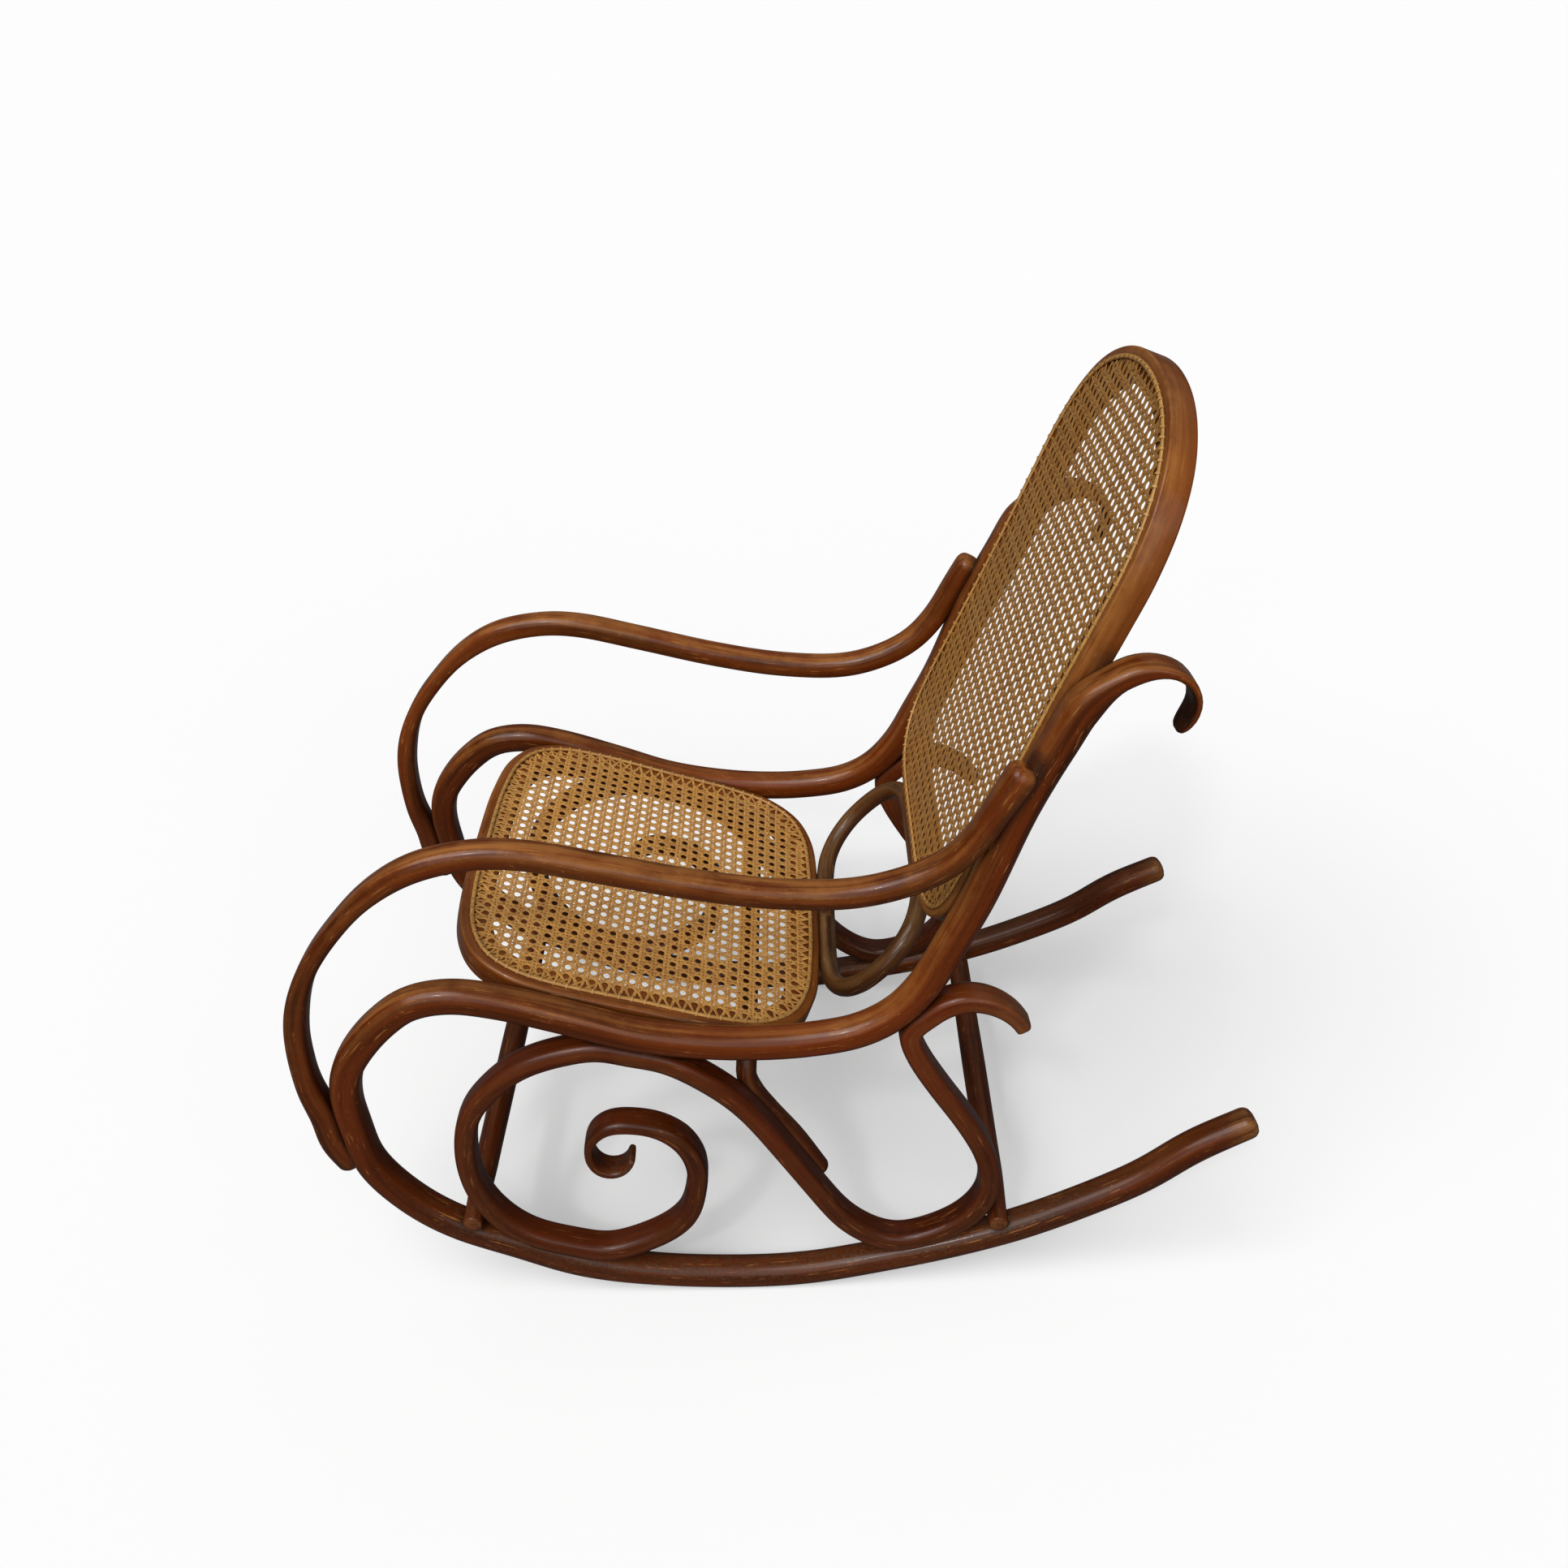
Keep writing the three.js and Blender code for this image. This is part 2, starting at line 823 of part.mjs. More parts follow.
// Bow under the seat: its legs lie against the inner faces of the scrolls' diagonals, its crown under the seat frame
const bowLegShares = [
  [0.029, 0.135],
  [0, 0.1885],
  [-0.0255, 0.23],
  [-0.039, 0.2565],
];
const crownShare = 0.817;
const bowSpread = (scrollWidth + bowDiameter) / 2 - scribeDepth;
const crownAlong = seatPlane.length * crownShare;
const bowReach = (bowDiameter / 2) * cornerReach(thinRodSides);
const crown = onPlane(seatPlane, 0, crownAlong, seatFrameDepth + clearance + bowReach);
const bowTurnX = sideX(crown.y, crown.z) - bowSpread - bowBendRadius;

// Points of the quarter turn from a leg to the crown
function bowTurn(angles) {
  return angles.map((angle) => {
    const outward = bowBendRadius * Math.cos(angle);
    const upward = bowBendRadius * Math.sin(angle);
    return new THREE.Vector3(bowTurnX + outward, crown.y, crown.z - bowBendRadius + upward);
  });
}

const bowHalf = [
  ...bowLegShares.map((shares) => {
    const point = place(shares);
    point.x = sideX(point.y, point.z) - bowSpread;
    return point;
  }),
  ...bowTurn([0, Math.PI / 6, Math.PI / 3, Math.PI / 2]),
  new THREE.Vector3(bowTurnX * 0.5, crown.y, crown.z),
];
const bowOther = bowHalf.map((point) => new THREE.Vector3(-point.x, point.y, point.z)).reverse();
const bowCurve = smoothCurve([...bowHalf, ...bowOther]);
const bowSections = [
  [0, bowDiameter, bowDiameter],
  [1, bowDiameter, bowDiameter],
];
const bowSolid = toSolid(
  bentRod(bowCurve, bowSections, {
    lateral: sideNormal,
    startRound: bowTipRound,
    endRound: bowTipRound,
    sides: thinRodSides,
    maxTurn: 0.26,
  }),
);

// Loop between the rear of the seat frame and the bottom of the back frame
const loopReach = (loopDiameter / 2) * cornerReach(thinRodSides) + clearance;
const loopFront = onPlane(seatPlane, 0, seatPlane.length + loopReach, loopDrop);
const loopRear = onPlane(backPlane, 0, -loopReach, backFrameDepth / 2);
const loopRun = loopRear.clone().sub(loopFront);
const loopHalf = loopOutlineShares.map(([acrossShare, alongShare]) => {
  const point = loopFront.clone().addScaledVector(loopRun, alongShare);
  point.x = acrossShare * loopHalfWidth;
  return point;
});
const loopOther = loopHalf.map((point) => new THREE.Vector3(-point.x, point.y, point.z)).reverse();
const loopCurve = smoothCurve([loopFront, ...loopHalf, loopRear, ...loopOther], true);

function loopRing() {
  const face = loopRun.clone().cross(new THREE.Vector3(1, 0, 0)).normalize();
  const rings = [];
  for (let step = 0; step < loopSteps; step += 1) {
    const share = step / loopSteps;
    const centre = loopCurve.getPointAt(share);
    const out = loopCurve.getTangentAt(share).cross(face).normalize();
    const ring = [];
    for (let side = 0; side < thinRodSides; side += 1) {
      const angle = ((side + 0.5) / thinRodSides) * 2 * Math.PI;
      const point = centre.clone().addScaledVector(out, (loopDiameter / 2) * Math.cos(angle));
      ring.push(point.addScaledVector(face, (loopDiameter / 2) * Math.sin(angle)));
    }
    rings.push(ring);
  }
  return ringsToGeometry(rings, true);
}

const loopSolid = toSolid(loopRing());

// Stretchers lie on the runners, in the outer crotches below the scrolls
function stretcher(shares, overhang) {
  const centre = besideRail(place(shares), stretcherDiameter);
  const endX = sideX(centre.y, centre.z) + overhang;
  const middleRadius = stretcherDiameter / 2;
  const endRadius = stretcherEndDiameter / 2;
  const half = [
    [middleRadius, 0],
    [THREE.MathUtils.lerp(middleRadius, endRadius, 0.4), endX * 0.65],
    [endRadius, endX - stretcherEndRound],
    [endRadius - stretcherEndRound, endX],
    [0, endX],
  ];
  const other = half.slice(1).map(([radius, reach]) => [radius, -reach]).reverse();
  const foot = new THREE.Vector3(0, centre.y, centre.z);
  return { centre, geometry: lathed([...other, ...half], lathedSides, foot, new THREE.Vector3(1, 0, 0)) };
}

const frontStretcher = stretcher([-0.339, 0.1095], frontStretcherOverhang);
const rearStretcher = stretcher([0.232, 0.0855], rearStretcherOverhang);

// The floor's plane, which has worn the runners flat
const floorBlock = new THREE.BoxGeometry(chairLength, chairLength * 2, chairHeight);
const wornAway = toSolid(floorBlock.translate(0, 0, -chairHeight / 2));

// Screws on the left side: the piece with the head, the piece that takes the tip, head place, direction and length
const screws = {};

// A screw in the side frame's plane at a contact of a rod with the rail
function contactScrew(name, curve, sections, nominal) {
  const target = place(nominal);
  target.x = sideX(target.y, target.z);
  const rodShare = closestShare(curve, target);
  const onRod = curve.getPointAt(rodShare);
  const onRail = railCurve.getPointAt(closestShare(railCurve, onRod));
  const direction = onRail.clone().sub(onRod).normalize();
  const rodThickness = sectionAt(sections, rodShare).thickness;
  const head = onRod.clone().addScaledVector(direction, -rodThickness / 2);
  screws[name] = woodScrew(head, direction, rodThickness + screwBite);
}

contactScrew('scroll_top_screw', scrollCurve, scrollSections, [-0.16, 0.342]);
contactScrew('scroll_front_foot_screw', scrollCurve, scrollSections, [-0.202, 0.046]);
contactScrew('scroll_rear_foot_screw', scrollCurve, scrollSections, [0.118, 0.055]);
contactScrew('scroll_neck_screw', scrollCurve, scrollSections, [0.122, 0.358]);
contactScrew('arm_front_screw', armCurve, armSections, [-0.4855, 0.25]);

// The arm's rear screw comes from behind, through the post
function armRearScrew() {
  const onArm = armCurve.getPointAt(0.965);
  const onRail = railCurve.getPointAt(closestShare(railCurve, onArm));
  const direction = onArm.clone().sub(onRail).normalize();
  const head = onRail.clone().addScaledVector(direction, -railDiameter / 2);
  screws.arm_rear_screw = woodScrew(head, direction, railDiameter + screwBite);
}
armRearScrew();

// A screw from the underside of the runner up into a stretcher
function stretcherScrew(name, { centre }) {
  const target = new THREE.Vector3(sideX(centre.y, centre.z), centre.y, centre.z);
  const onRail = railCurve.getPointAt(closestShare(railCurve, target));
  const direction = target.sub(onRail).normalize();
  const head = onRail.clone().addScaledVector(direction, -railDiameter / 2);
  screws[name] = woodScrew(head, direction, railDiameter + screwBite);
}
stretcherScrew('front_stretcher_screw', frontStretcher);
stretcherScrew('rear_stretcher_screw', rearStretcher);

// Screws from the inner wall of a frame outwards into the rail beside it
function frameScrew(name, plane, outline, alongShare, depth, frameWidth) {
  const along = plane.length * alongShare;
  const samples = 400;
  let best = null;
  for (let index = 0; index < samples; index += 1) {
    const point = outline.getPointAt(index / samples);
    if (point.x > 0 && (!best || Math.abs(point.y - along) < Math.abs(best.y - along))) {
      best = point;
    }
  }
  const head = onPlane(plane, best.x - frameWidth, along, depth);
  screws[name] = woodScrew(head, new THREE.Vector3(1, 0, 0), frameWidth + screwBite);
}
frameScrew('seat_front_screw', seatPlane, seatOutline, 0.3, seatFrameDepth * 0.6, seatFrameWidth);
frameScrew('seat_rear_screw', seatPlane, seatOutline, 0.66, seatFrameDepth * 0.4, seatFrameWidth);
frameScrew('back_lower_screw', backPlane, backOutline, 0.24, backFrameDepth * 0.6, backFrameWidth);
frameScrew('back_upper_screw', backPlane, backOutline, 0.5, backFrameDepth * 0.6, backFrameWidth);

// Screws of the bow: one through each leg into the scroll, one up through each shoulder into the seat frame
function bowScrews() {
  const legHead = bowHalf[1].clone().addScaledVector(sideNormal, -bowDiameter / 2);
  screws.bow_leg_screw = woodScrew(legHead, sideNormal, bowDiameter + screwBite);
  const shoulderX = halfRoom(seatPlane, crownAlong, seatFrameDepth) - seatFrameWidth + bowScrewInset;
  const shoulder = onPlane(seatPlane, shoulderX, crownAlong, seatFrameDepth + clearance + bowDiameter);
  screws.bow_crown_screw = woodScrew(shoulder, seatPlane.face, bowDiameter + screwBite);
}
bowScrews();

// Screws of the loop, into the rear of the seat frame and into the bottom of the back frame
function loopScrews() {
  const forward = seatPlane.run.clone().negate();
  const front = loopFront.clone().addScaledVector(forward, -loopDiameter / 2);
  front.x = loopScrewSpread;
  screws.loop_seat_screw = woodScrew(front, forward, loopDiameter + screwBite);
  const rear = loopRear.clone().addScaledVector(backPlane.run, -loopDiameter / 2);
  rear.x = loopScrewSpread;
  screws.loop_back_screw = woodScrew(rear, backPlane.run, loopDiameter + screwBite);
}
loopScrews();

// Bores of both sides, for the pieces that lie on the middle of the chair
function bothSides(names) {
  return names.flatMap((name) => [screws[name].bore, toSolid(mirrored(toGeometry(screws[name].bore)))]);
}

const boresOf = (names) => names.map((name) => screws[name].bore);

const railTools = [
  wornAway,
  ...boresOf([
    'front_stretcher_screw',
    'rear_stretcher_screw',
    'scroll_top_screw',
    'scroll_front_foot_screw',
    'scroll_rear_foot_screw',
    'scroll_neck_screw',
    'arm_front_screw',
    'arm_rear_screw',
    'seat_front_screw',
    'seat_rear_screw',
    'back_lower_screw',
    'back_upper_screw',
  ]),
];
addPair('side_rail', toGeometry(cut(railSolid, railTools)), 'beech');

const scrollTools = [
  railFit,
  ...boresOf([
    'scroll_top_screw',
    'scroll_front_foot_screw',
    'scroll_rear_foot_screw',
    'scroll_neck_screw',
    'bow_leg_screw',
  ]),
];
addPair('scroll', toGeometry(cut(scrollSolid, scrollTools)), 'beech');

addPair('arm', toGeometry(cut(armSolid, [railFit, ...boresOf(['arm_front_screw', 'arm_rear_screw'])])), 'beech');

// A stretcher scribed to the runners and scrolls at both ends
function addStretcher(name, geometry) {
  const tools = [...railFits, ...scrollFits, ...bothSides([`${name}_screw`])];
  addPiece(name, toGeometry(cut(toSolid(geometry), tools)), 'beech');
}
addStretcher('front_stretcher', frontStretcher.geometry);
addStretcher('rear_stretcher', rearStretcher.geometry);

const seatTools = bothSides(['seat_front_screw', 'seat_rear_screw', 'bow_crown_screw', 'loop_seat_screw']);
addPiece('seat_frame', toGeometry(cut(seatFrameSolid, [...railFits, ...seatTools])), 'beech');
addPiece('seat_cane', caneWeb(seatPlane, seatOutline, seatFrameWidth), 'cane');
addPiece('seat_binder', sweptFrame(seatPlane, seatOutline, binderSection()), 'binder');

const backTools = bothSides(['back_lower_screw', 'back_upper_screw', 'loop_back_screw']);
addPiece('back_frame', toGeometry(cut(backFrameSolid, [...railFits, ...backTools])), 'beech');
addPiece('back_cane', caneWeb(backPlane, backOutline, backFrameWidth), 'cane');
addPiece('back_binder', sweptFrame(backPlane, backOutline, binderSection()), 'binder');

const bowTools = [...scrollFits, ...bothSides(['bow_leg_screw', 'bow_crown_screw'])];
addPiece('seat_bow', toGeometry(cut(bowSolid, bowTools)), 'beech');
addPiece('back_loop', toGeometry(cut(loopSolid, bothSides(['loop_seat_screw', 'loop_back_screw']))), 'beech');

for (const [name, { geometry }] of Object.entries(screws)) {
  addPair(name, geometry, 'steel');
}

// The origin is put on the floor under the middle of the chair's box
const box = new THREE.Box3().setFromObject(chair);
chair.position.set(-(box.min.x + box.max.x) / 2, -(box.min.y + box.max.y) / 2, -box.min.z);

export default chair;
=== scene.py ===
"""Bentwood rocking chair: round bent rods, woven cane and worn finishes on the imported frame."""

import logging
import math
import random
from bisect import bisect_right
from dataclasses import dataclass
from enum import Enum
from itertools import accumulate
from typing import Callable, ClassVar, Optional, Sequence

import bmesh
import bpy
from mathutils import Matrix, Vector, kdtree


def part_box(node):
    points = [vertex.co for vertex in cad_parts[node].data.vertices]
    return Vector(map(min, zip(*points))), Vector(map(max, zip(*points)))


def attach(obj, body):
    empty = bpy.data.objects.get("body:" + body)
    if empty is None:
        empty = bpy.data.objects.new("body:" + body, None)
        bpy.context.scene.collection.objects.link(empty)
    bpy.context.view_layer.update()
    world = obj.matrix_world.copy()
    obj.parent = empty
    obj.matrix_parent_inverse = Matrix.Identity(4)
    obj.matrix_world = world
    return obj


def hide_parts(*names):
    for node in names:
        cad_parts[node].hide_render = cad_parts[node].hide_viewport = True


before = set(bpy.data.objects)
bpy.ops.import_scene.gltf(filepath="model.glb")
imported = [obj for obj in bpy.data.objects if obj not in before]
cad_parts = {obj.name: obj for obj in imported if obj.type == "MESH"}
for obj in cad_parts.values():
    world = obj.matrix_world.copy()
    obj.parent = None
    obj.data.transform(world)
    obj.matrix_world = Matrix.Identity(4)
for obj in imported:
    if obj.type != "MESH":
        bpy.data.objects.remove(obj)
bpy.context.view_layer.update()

Rows = Sequence[Sequence[float]]
Band = tuple[float, float]
Colour = tuple[float, float, float, float]
# Rubbing, painted shade and scuffs at a place of a wooden piece
Marks = tuple[float, float, float]
MarkRule = Callable[[Vector, Vector, Vector], Marks]
Material = bpy.types.Material
NodeTree = bpy.types.NodeTree
Socket = bpy.types.NodeSocket

LOG = logging.getLogger("rocking_chair")
MM = 0.001
X_AXIS = Vector((1.0, 0.0, 0.0))
Y_AXIS = Vector((0.0, 1.0, 0.0))
Z_AXIS = Vector((0.0, 0.0, 1.0))

# Metres between the lengths of wood that a left piece and its right twin are cut from
TWIN_DISTANCE = 5.0

# Places of the rods' centre lines, as shares of the chair's length and height
RAIL_SHARES: Rows = (
    (0.4955, 0.222), (0.434, 0.183), (0.387, 0.141), (0.322, 0.101), (0.254, 0.067),
    (0.183, 0.0415), (0.111, 0.022), (0.023, 0.0035), (-0.05, 0), (-0.151, 0.008),
    (-0.227, 0.0265), (-0.297, 0.06), (-0.363, 0.0945), (-0.407, 0.135), (-0.4415, 0.191),
    (-0.4495, 0.242), (-0.453, 0.291), (-0.4455, 0.328), (-0.426, 0.361), (-0.4025, 0.388),
    (-0.374, 0.41), (-0.335, 0.418), (-0.29, 0.4105), (-0.217, 0.386), (-0.155, 0.3635),
    (-0.091, 0.3515), (-0.029, 0.348), (0.023, 0.3515), (0.07, 0.362), (0.106, 0.385),
    (0.1345, 0.424), (0.154, 0.469), (0.178, 0.527), (0.211, 0.631), (0.2405, 0.702),
    (0.258, 0.74), (0.286, 0.7665), (0.313, 0.775), (0.336, 0.7695), (0.35, 0.754),
    (0.353, 0.736), (0.346, 0.719), (0.3405, 0.711),
)
ARM_SHARES: Rows = (
    (-0.471, 0.184), (-0.4805, 0.226), (-0.4845, 0.262), (-0.4875, 0.3), (-0.49, 0.345),
    (-0.4875, 0.384), (-0.476, 0.43), (-0.459, 0.466), (-0.434, 0.502), (-0.397, 0.543),
    (-0.35, 0.574), (-0.294, 0.588), (-0.25, 0.587), (-0.18, 0.571), (-0.09, 0.549),
    (-0.01, 0.536), (0.066, 0.536), (0.116, 0.552), (0.148, 0.573), (0.172, 0.604),
    (0.189, 0.639), (0.21, 0.68),
)
BOW_LEG_SHARES: Rows = ((0.036, 0.134), (0.006, 0.1885), (-0.0215, 0.23), (-0.037, 0.2565))

# The runs of the rod below the seat, each with True where it lies on the rail
SCROLL_RUNS: Sequence[tuple[bool, Rows]] = (
    (False, (
        (-0.166, 0.196), (-0.172, 0.18), (-0.188, 0.172), (-0.203, 0.178), (-0.212, 0.198),
        (-0.207, 0.225), (-0.189, 0.241), (-0.164, 0.242), (-0.138, 0.235), (-0.113, 0.214),
        (-0.099, 0.18), (-0.1, 0.144), (-0.111, 0.1005), (-0.141, 0.071), (-0.174, 0.055),
    )),
    (True, ((-0.202, 0.046), (-0.228, 0.05))),
    (False, (
        (-0.282, 0.073), (-0.318, 0.111), (-0.337, 0.158), (-0.3405, 0.212), (-0.33, 0.262),
        (-0.302, 0.301), (-0.27, 0.3275), (-0.225, 0.344),
    )),
    (True, ((-0.19, 0.348), (-0.16, 0.342), (-0.13, 0.331))),
    (False, (
        (-0.088, 0.304), (-0.05, 0.267), (0, 0.188), (0.03, 0.137), (0.061, 0.088), (0.087, 0.065),
    )),
    (True, ((0.118, 0.055), (0.147, 0.06))),
    (False, (
        (0.189, 0.08), (0.213, 0.113), (0.2175, 0.146), (0.208, 0.187), (0.186, 0.232),
        (0.149, 0.293), (0.1285, 0.332),
    )),
    (True, ((0.1235, 0.358), (0.133, 0.38))),
    (False, ((0.155, 0.397), (0.18, 0.403), (0.206, 0.395), (0.2275, 0.377), (0.236, 0.363))),
)

# The two ends of each frame's face, as shares of length and height
SEAT_FACE_SHARES: Rows = ((-0.3452, 0.4585), (0.0355, 0.3391))
BACK_FACE_SHARES: Rows = ((0.1307, 0.457), (0.3282, 0.9993))

# Half outlines of the frames and the loop: share of the half width, share of the length
SEAT_OUTLINE_SHARES: Rows = (
    (0.42, 0.004), (0.7, 0.028), (0.87, 0.082), (0.965, 0.17), (1, 0.29), (1, 0.52),
    (0.995, 0.72), (0.95, 0.845), (0.83, 0.935), (0.64, 0.982), (0.36, 0.998),
)
BACK_OUTLINE_SHARES: Rows = (
    (0.4, 0.002), (0.68, 0.014), (0.87, 0.05), (0.965, 0.1), (1, 0.17), (1, 0.34),
    (1, 0.52), (1, 0.68), (0.99, 0.762), (0.93, 0.837), (0.83, 0.893), (0.7, 0.934),
    (0.5, 0.97), (0.27, 0.992),
)
OVAL_SHARES: Rows = (
    (0.3, 0), (0.55, 0.012), (0.74, 0.055), (0.88, 0.15), (0.975, 0.31), (1, 0.5),
    (0.965, 0.7), (0.86, 0.86), (0.7, 0.955), (0.5, 0.993), (0.28, 1),
)


class Side(Enum):
    """The side of the chair that a piece stands on, seen by the sitter."""

    LEFT = 1
    RIGHT = -1

    @property
    def word(self) -> str:
        """The side's name in the names of pieces."""
        return self.name.lower()


class Slot(Enum):
    """The material slots of the record, which the labels of the pieces made here name."""

    BEECH = "stained_beech"
    CANE = "cane"
    BINDER = "cane_binder"


def lerp(start: float, end: float, part: float) -> float:
    """The number at a share of the way from start to end."""
    return start + (end - start) * part


def smoothstep(value: float, zero: float, one: float) -> float:
    """Eases from 0 to 1 while the value goes from one limit to the other, up or down."""
    part = min(max((value - zero) / (one - zero), 0.0), 1.0)
    return part * part * (3.0 - 2.0 * part)


def steps_of(count: int) -> list[float]:
    """The shares from 0 to 1 that part a whole into equal steps."""
    return [index / count for index in range(count + 1)]


def row_at(rows: Rows, share: float) -> tuple[float, ...]:
    """The eased values at a share of a table, whose rows are a share and the values there.

    Args:
        rows: Rows in the order of their shares.
        share: Where to read the table.

    Returns:
        The values there, as many as a row has after its share.
    """
    index = 0
    while index < len(rows) - 2 and share > rows[index + 1][0]:
        index += 1
    low, high = rows[index], rows[index + 1]
    part = smoothstep(share, low[0], high[0])
    return tuple(lerp(start, end, part) for start, end in zip(low[1:], high[1:]))


def mirrored(half: Sequence[Vector]) -> list[Vector]:
    """The other half of an outline, walked back to where the first half began."""
    return [Vector((-point.x, point.y, point.z)) for point in reversed(half)]


class CentreLine:
    """A smooth line through points, walked by share of its length."""

    def __init__(self, points: Sequence[Vector], closed: bool = False, steps: int = 28) -> None:
        """Samples a centripetal spline through the points.

        Args:
            points: The places that the line passes through, in millimetres.
            closed: True for a ring.
            steps: Samples for each span between two points.
        """
        self.closed = closed
        if closed:
            before, after = [points[-1]], [points[0], points[1]]
        else:
            before, after = [points[0] * 2 - points[1]], [points[-1] * 2 - points[-2]]
        around = [*before, *points, *after]
        self.samples: list[Vector] = []
        for four in zip(around, around[1:], around[2:], around[3:]):
            self.samples.extend(self._span(four, steps))
        self.samples.append((points[0] if closed else points[-1]).copy())
        gaps = ((after - before).length for before, after in zip(self.samples, self.samples[1:]))
        self.reach = list(accumulate(gaps, initial=0.0))
        self.length = self.reach[-1]

    @staticmethod
    def _span(around: Sequence[Vector], steps: int) -> list[Vector]:
        """Samples of the span between the middle two of four points, without its last point.

        Args:
            around: The four points.
            steps: How many samples.

        Returns:
            The samples from the second point on.
        """
        first, start, end, last = around
        opening, middle, closing = (math.sqrt((b - a).length) for a, b in zip(around, around[1:]))
        leaving = (start - first) / opening - (end - first) / (opening + middle) + (end - start) / middle
        arriving = (end - start) / middle - (last - start) / (middle + closing) + (last - end) / closing
        leaving, arriving = leaving * middle, arriving * middle
        square = (end - start) * 3 - leaving * 2 - arriving
        cube = (start - end) * 2 + leaving + arriving
        parts = [step / steps for step in range(steps)]
        return [start + leaving * part + square * part**2 + cube * part**3 for part in parts]

    def at(self, share: float) -> Vector:
        """The place at a share of the length; a ring goes round again past its ends.

        Args:
            share: The share of the length.

        Returns:
            The place there, in millimetres.
        """
        share = share % 1.0 if self.closed and not 0.0 <= share <= 1.0 else min(max(share, 0.0), 1.0)
        wanted = share * self.length
        index = min(max(bisect_right(self.reach, wanted) - 1, 0), len(self.samples) - 2)
        gap = self.reach[index + 1] - self.reach[index]
        part = (wanted - self.reach[index]) / gap if gap else 0.0
        return self.samples[index].lerp(self.samples[index + 1], part)

    def tangent(self, share: float, spread: float = 2.5) -> Vector:
        """The unit direction at a share, taken over some millimetres to either side."""
        part = spread / self.length
        return (self.at(share + part) - self.at(share - part)).normalized()

    def eased(self, reaches: Rows, spacing: float = 4.0, spread: int = 11) -> "CentreLine":
        """The same open line with its sudden turns softened.

        Args:
            reaches: Rows of share and the millimetres over which places are averaged there.
            spacing: Millimetres between the points of the new line.
            spread: Points taken into each average, to either side.

        Returns:
            A new line with the same ends.
        """
        count = round(self.length / spacing)
        offsets = range(-spread, spread + 1)
        points = []
        for index in range(count + 1):
            (reach,) = row_at(reaches, index / count)
            weights = [math.exp(-0.5 * (offset * spacing / reach) ** 2) for offset in offsets]
            total = Vector()
            for offset, weight in zip(offsets, weights):
                share = (index + offset) / count
                end = min(max(share, 0.0), 1.0)
                place = self.at(share) if share == end else self.at(end) * 2 - self.at(2 * end - share)
                total += place * weight
            points.append(total / sum(weights))
        return CentreLine(points, steps=3)

    def closest(self, point: Vector) -> float:
        """Share of the length at which the line passes closest to a point."""
        gaps = [(sample - point).length_squared for sample in self.samples]
        return self.reach[gaps.index(min(gaps))] / self.length


@dataclass(frozen=True)
class SidePlane:
    """The leaning, toed-in plane of a side frame, in millimetres."""

    chair_length: float = 1014.0
    chair_height: float = 988.0
    floor_half_spread: float = 252.5
    rear_toe_in: float = 32.0
    top_lean_in: float = 50.0
    rod_diameter: float = 32.5
    runner_wear: float = 1.5
    scribe_depth: float = 1.5

    def place(self, shares: Sequence[float]) -> Vector:
        """A place of a side outline in the middle plane of the chair."""
        lowest = self.rod_diameter / 2 - self.runner_wear
        return Vector((0.0, shares[0] * self.chair_length, lowest + shares[1] * self.chair_height))

    def side_x(self, point: Vector) -> float:
        """Half the spread of the side frames at a place."""
        toe = self.rear_toe_in * point.y / self.chair_length
        lean = self.top_lean_in * point.z / self.chair_height
        return self.floor_half_spread - toe - lean

    @property
    def normal(self) -> Vector:
        """The unit direction out of the left side frame."""
        toe, lean = self.rear_toe_in / self.chair_length, self.top_lean_in / self.chair_height
        return Vector((1.0, toe, lean)).normalized()

    def onto_side(self, outline: CentreLine, count: int, shift: Callable[[float], float]) -> CentreLine:
        """Puts an outline into the plane of the left side frame.

        Args:
            outline: A line in the middle plane of the chair.
            count: How many spans the new line gets.
            shift: How far outwards the line moves at a share of its length.

        Returns:
            The line in the side frame.
        """
        points = []
        for share in steps_of(count):
            point = outline.at(share)
            point.x = self.side_x(point) + shift(share)
            points.append(point)
        return CentreLine(points, steps=6)


def station(centre: Vector, across: Vector, deep: Vector, wide: float, thick: float) -> Matrix:
    """The matrix that puts a unit section at a place.

    Args:
        centre: Where the middle of the section lies.
        across, deep: Unit directions of the section's x and y.
        wide, thick: Half its width along x and half its thickness along y.

    Returns:
        A 4 by 4 matrix.
    """
    along = across.cross(deep)
    rows = [(across[i] * wide, deep[i] * thick, along[i], centre[i]) for i in range(3)]
    return Matrix((*rows, (0.0, 0.0, 0.0, 1.0)))


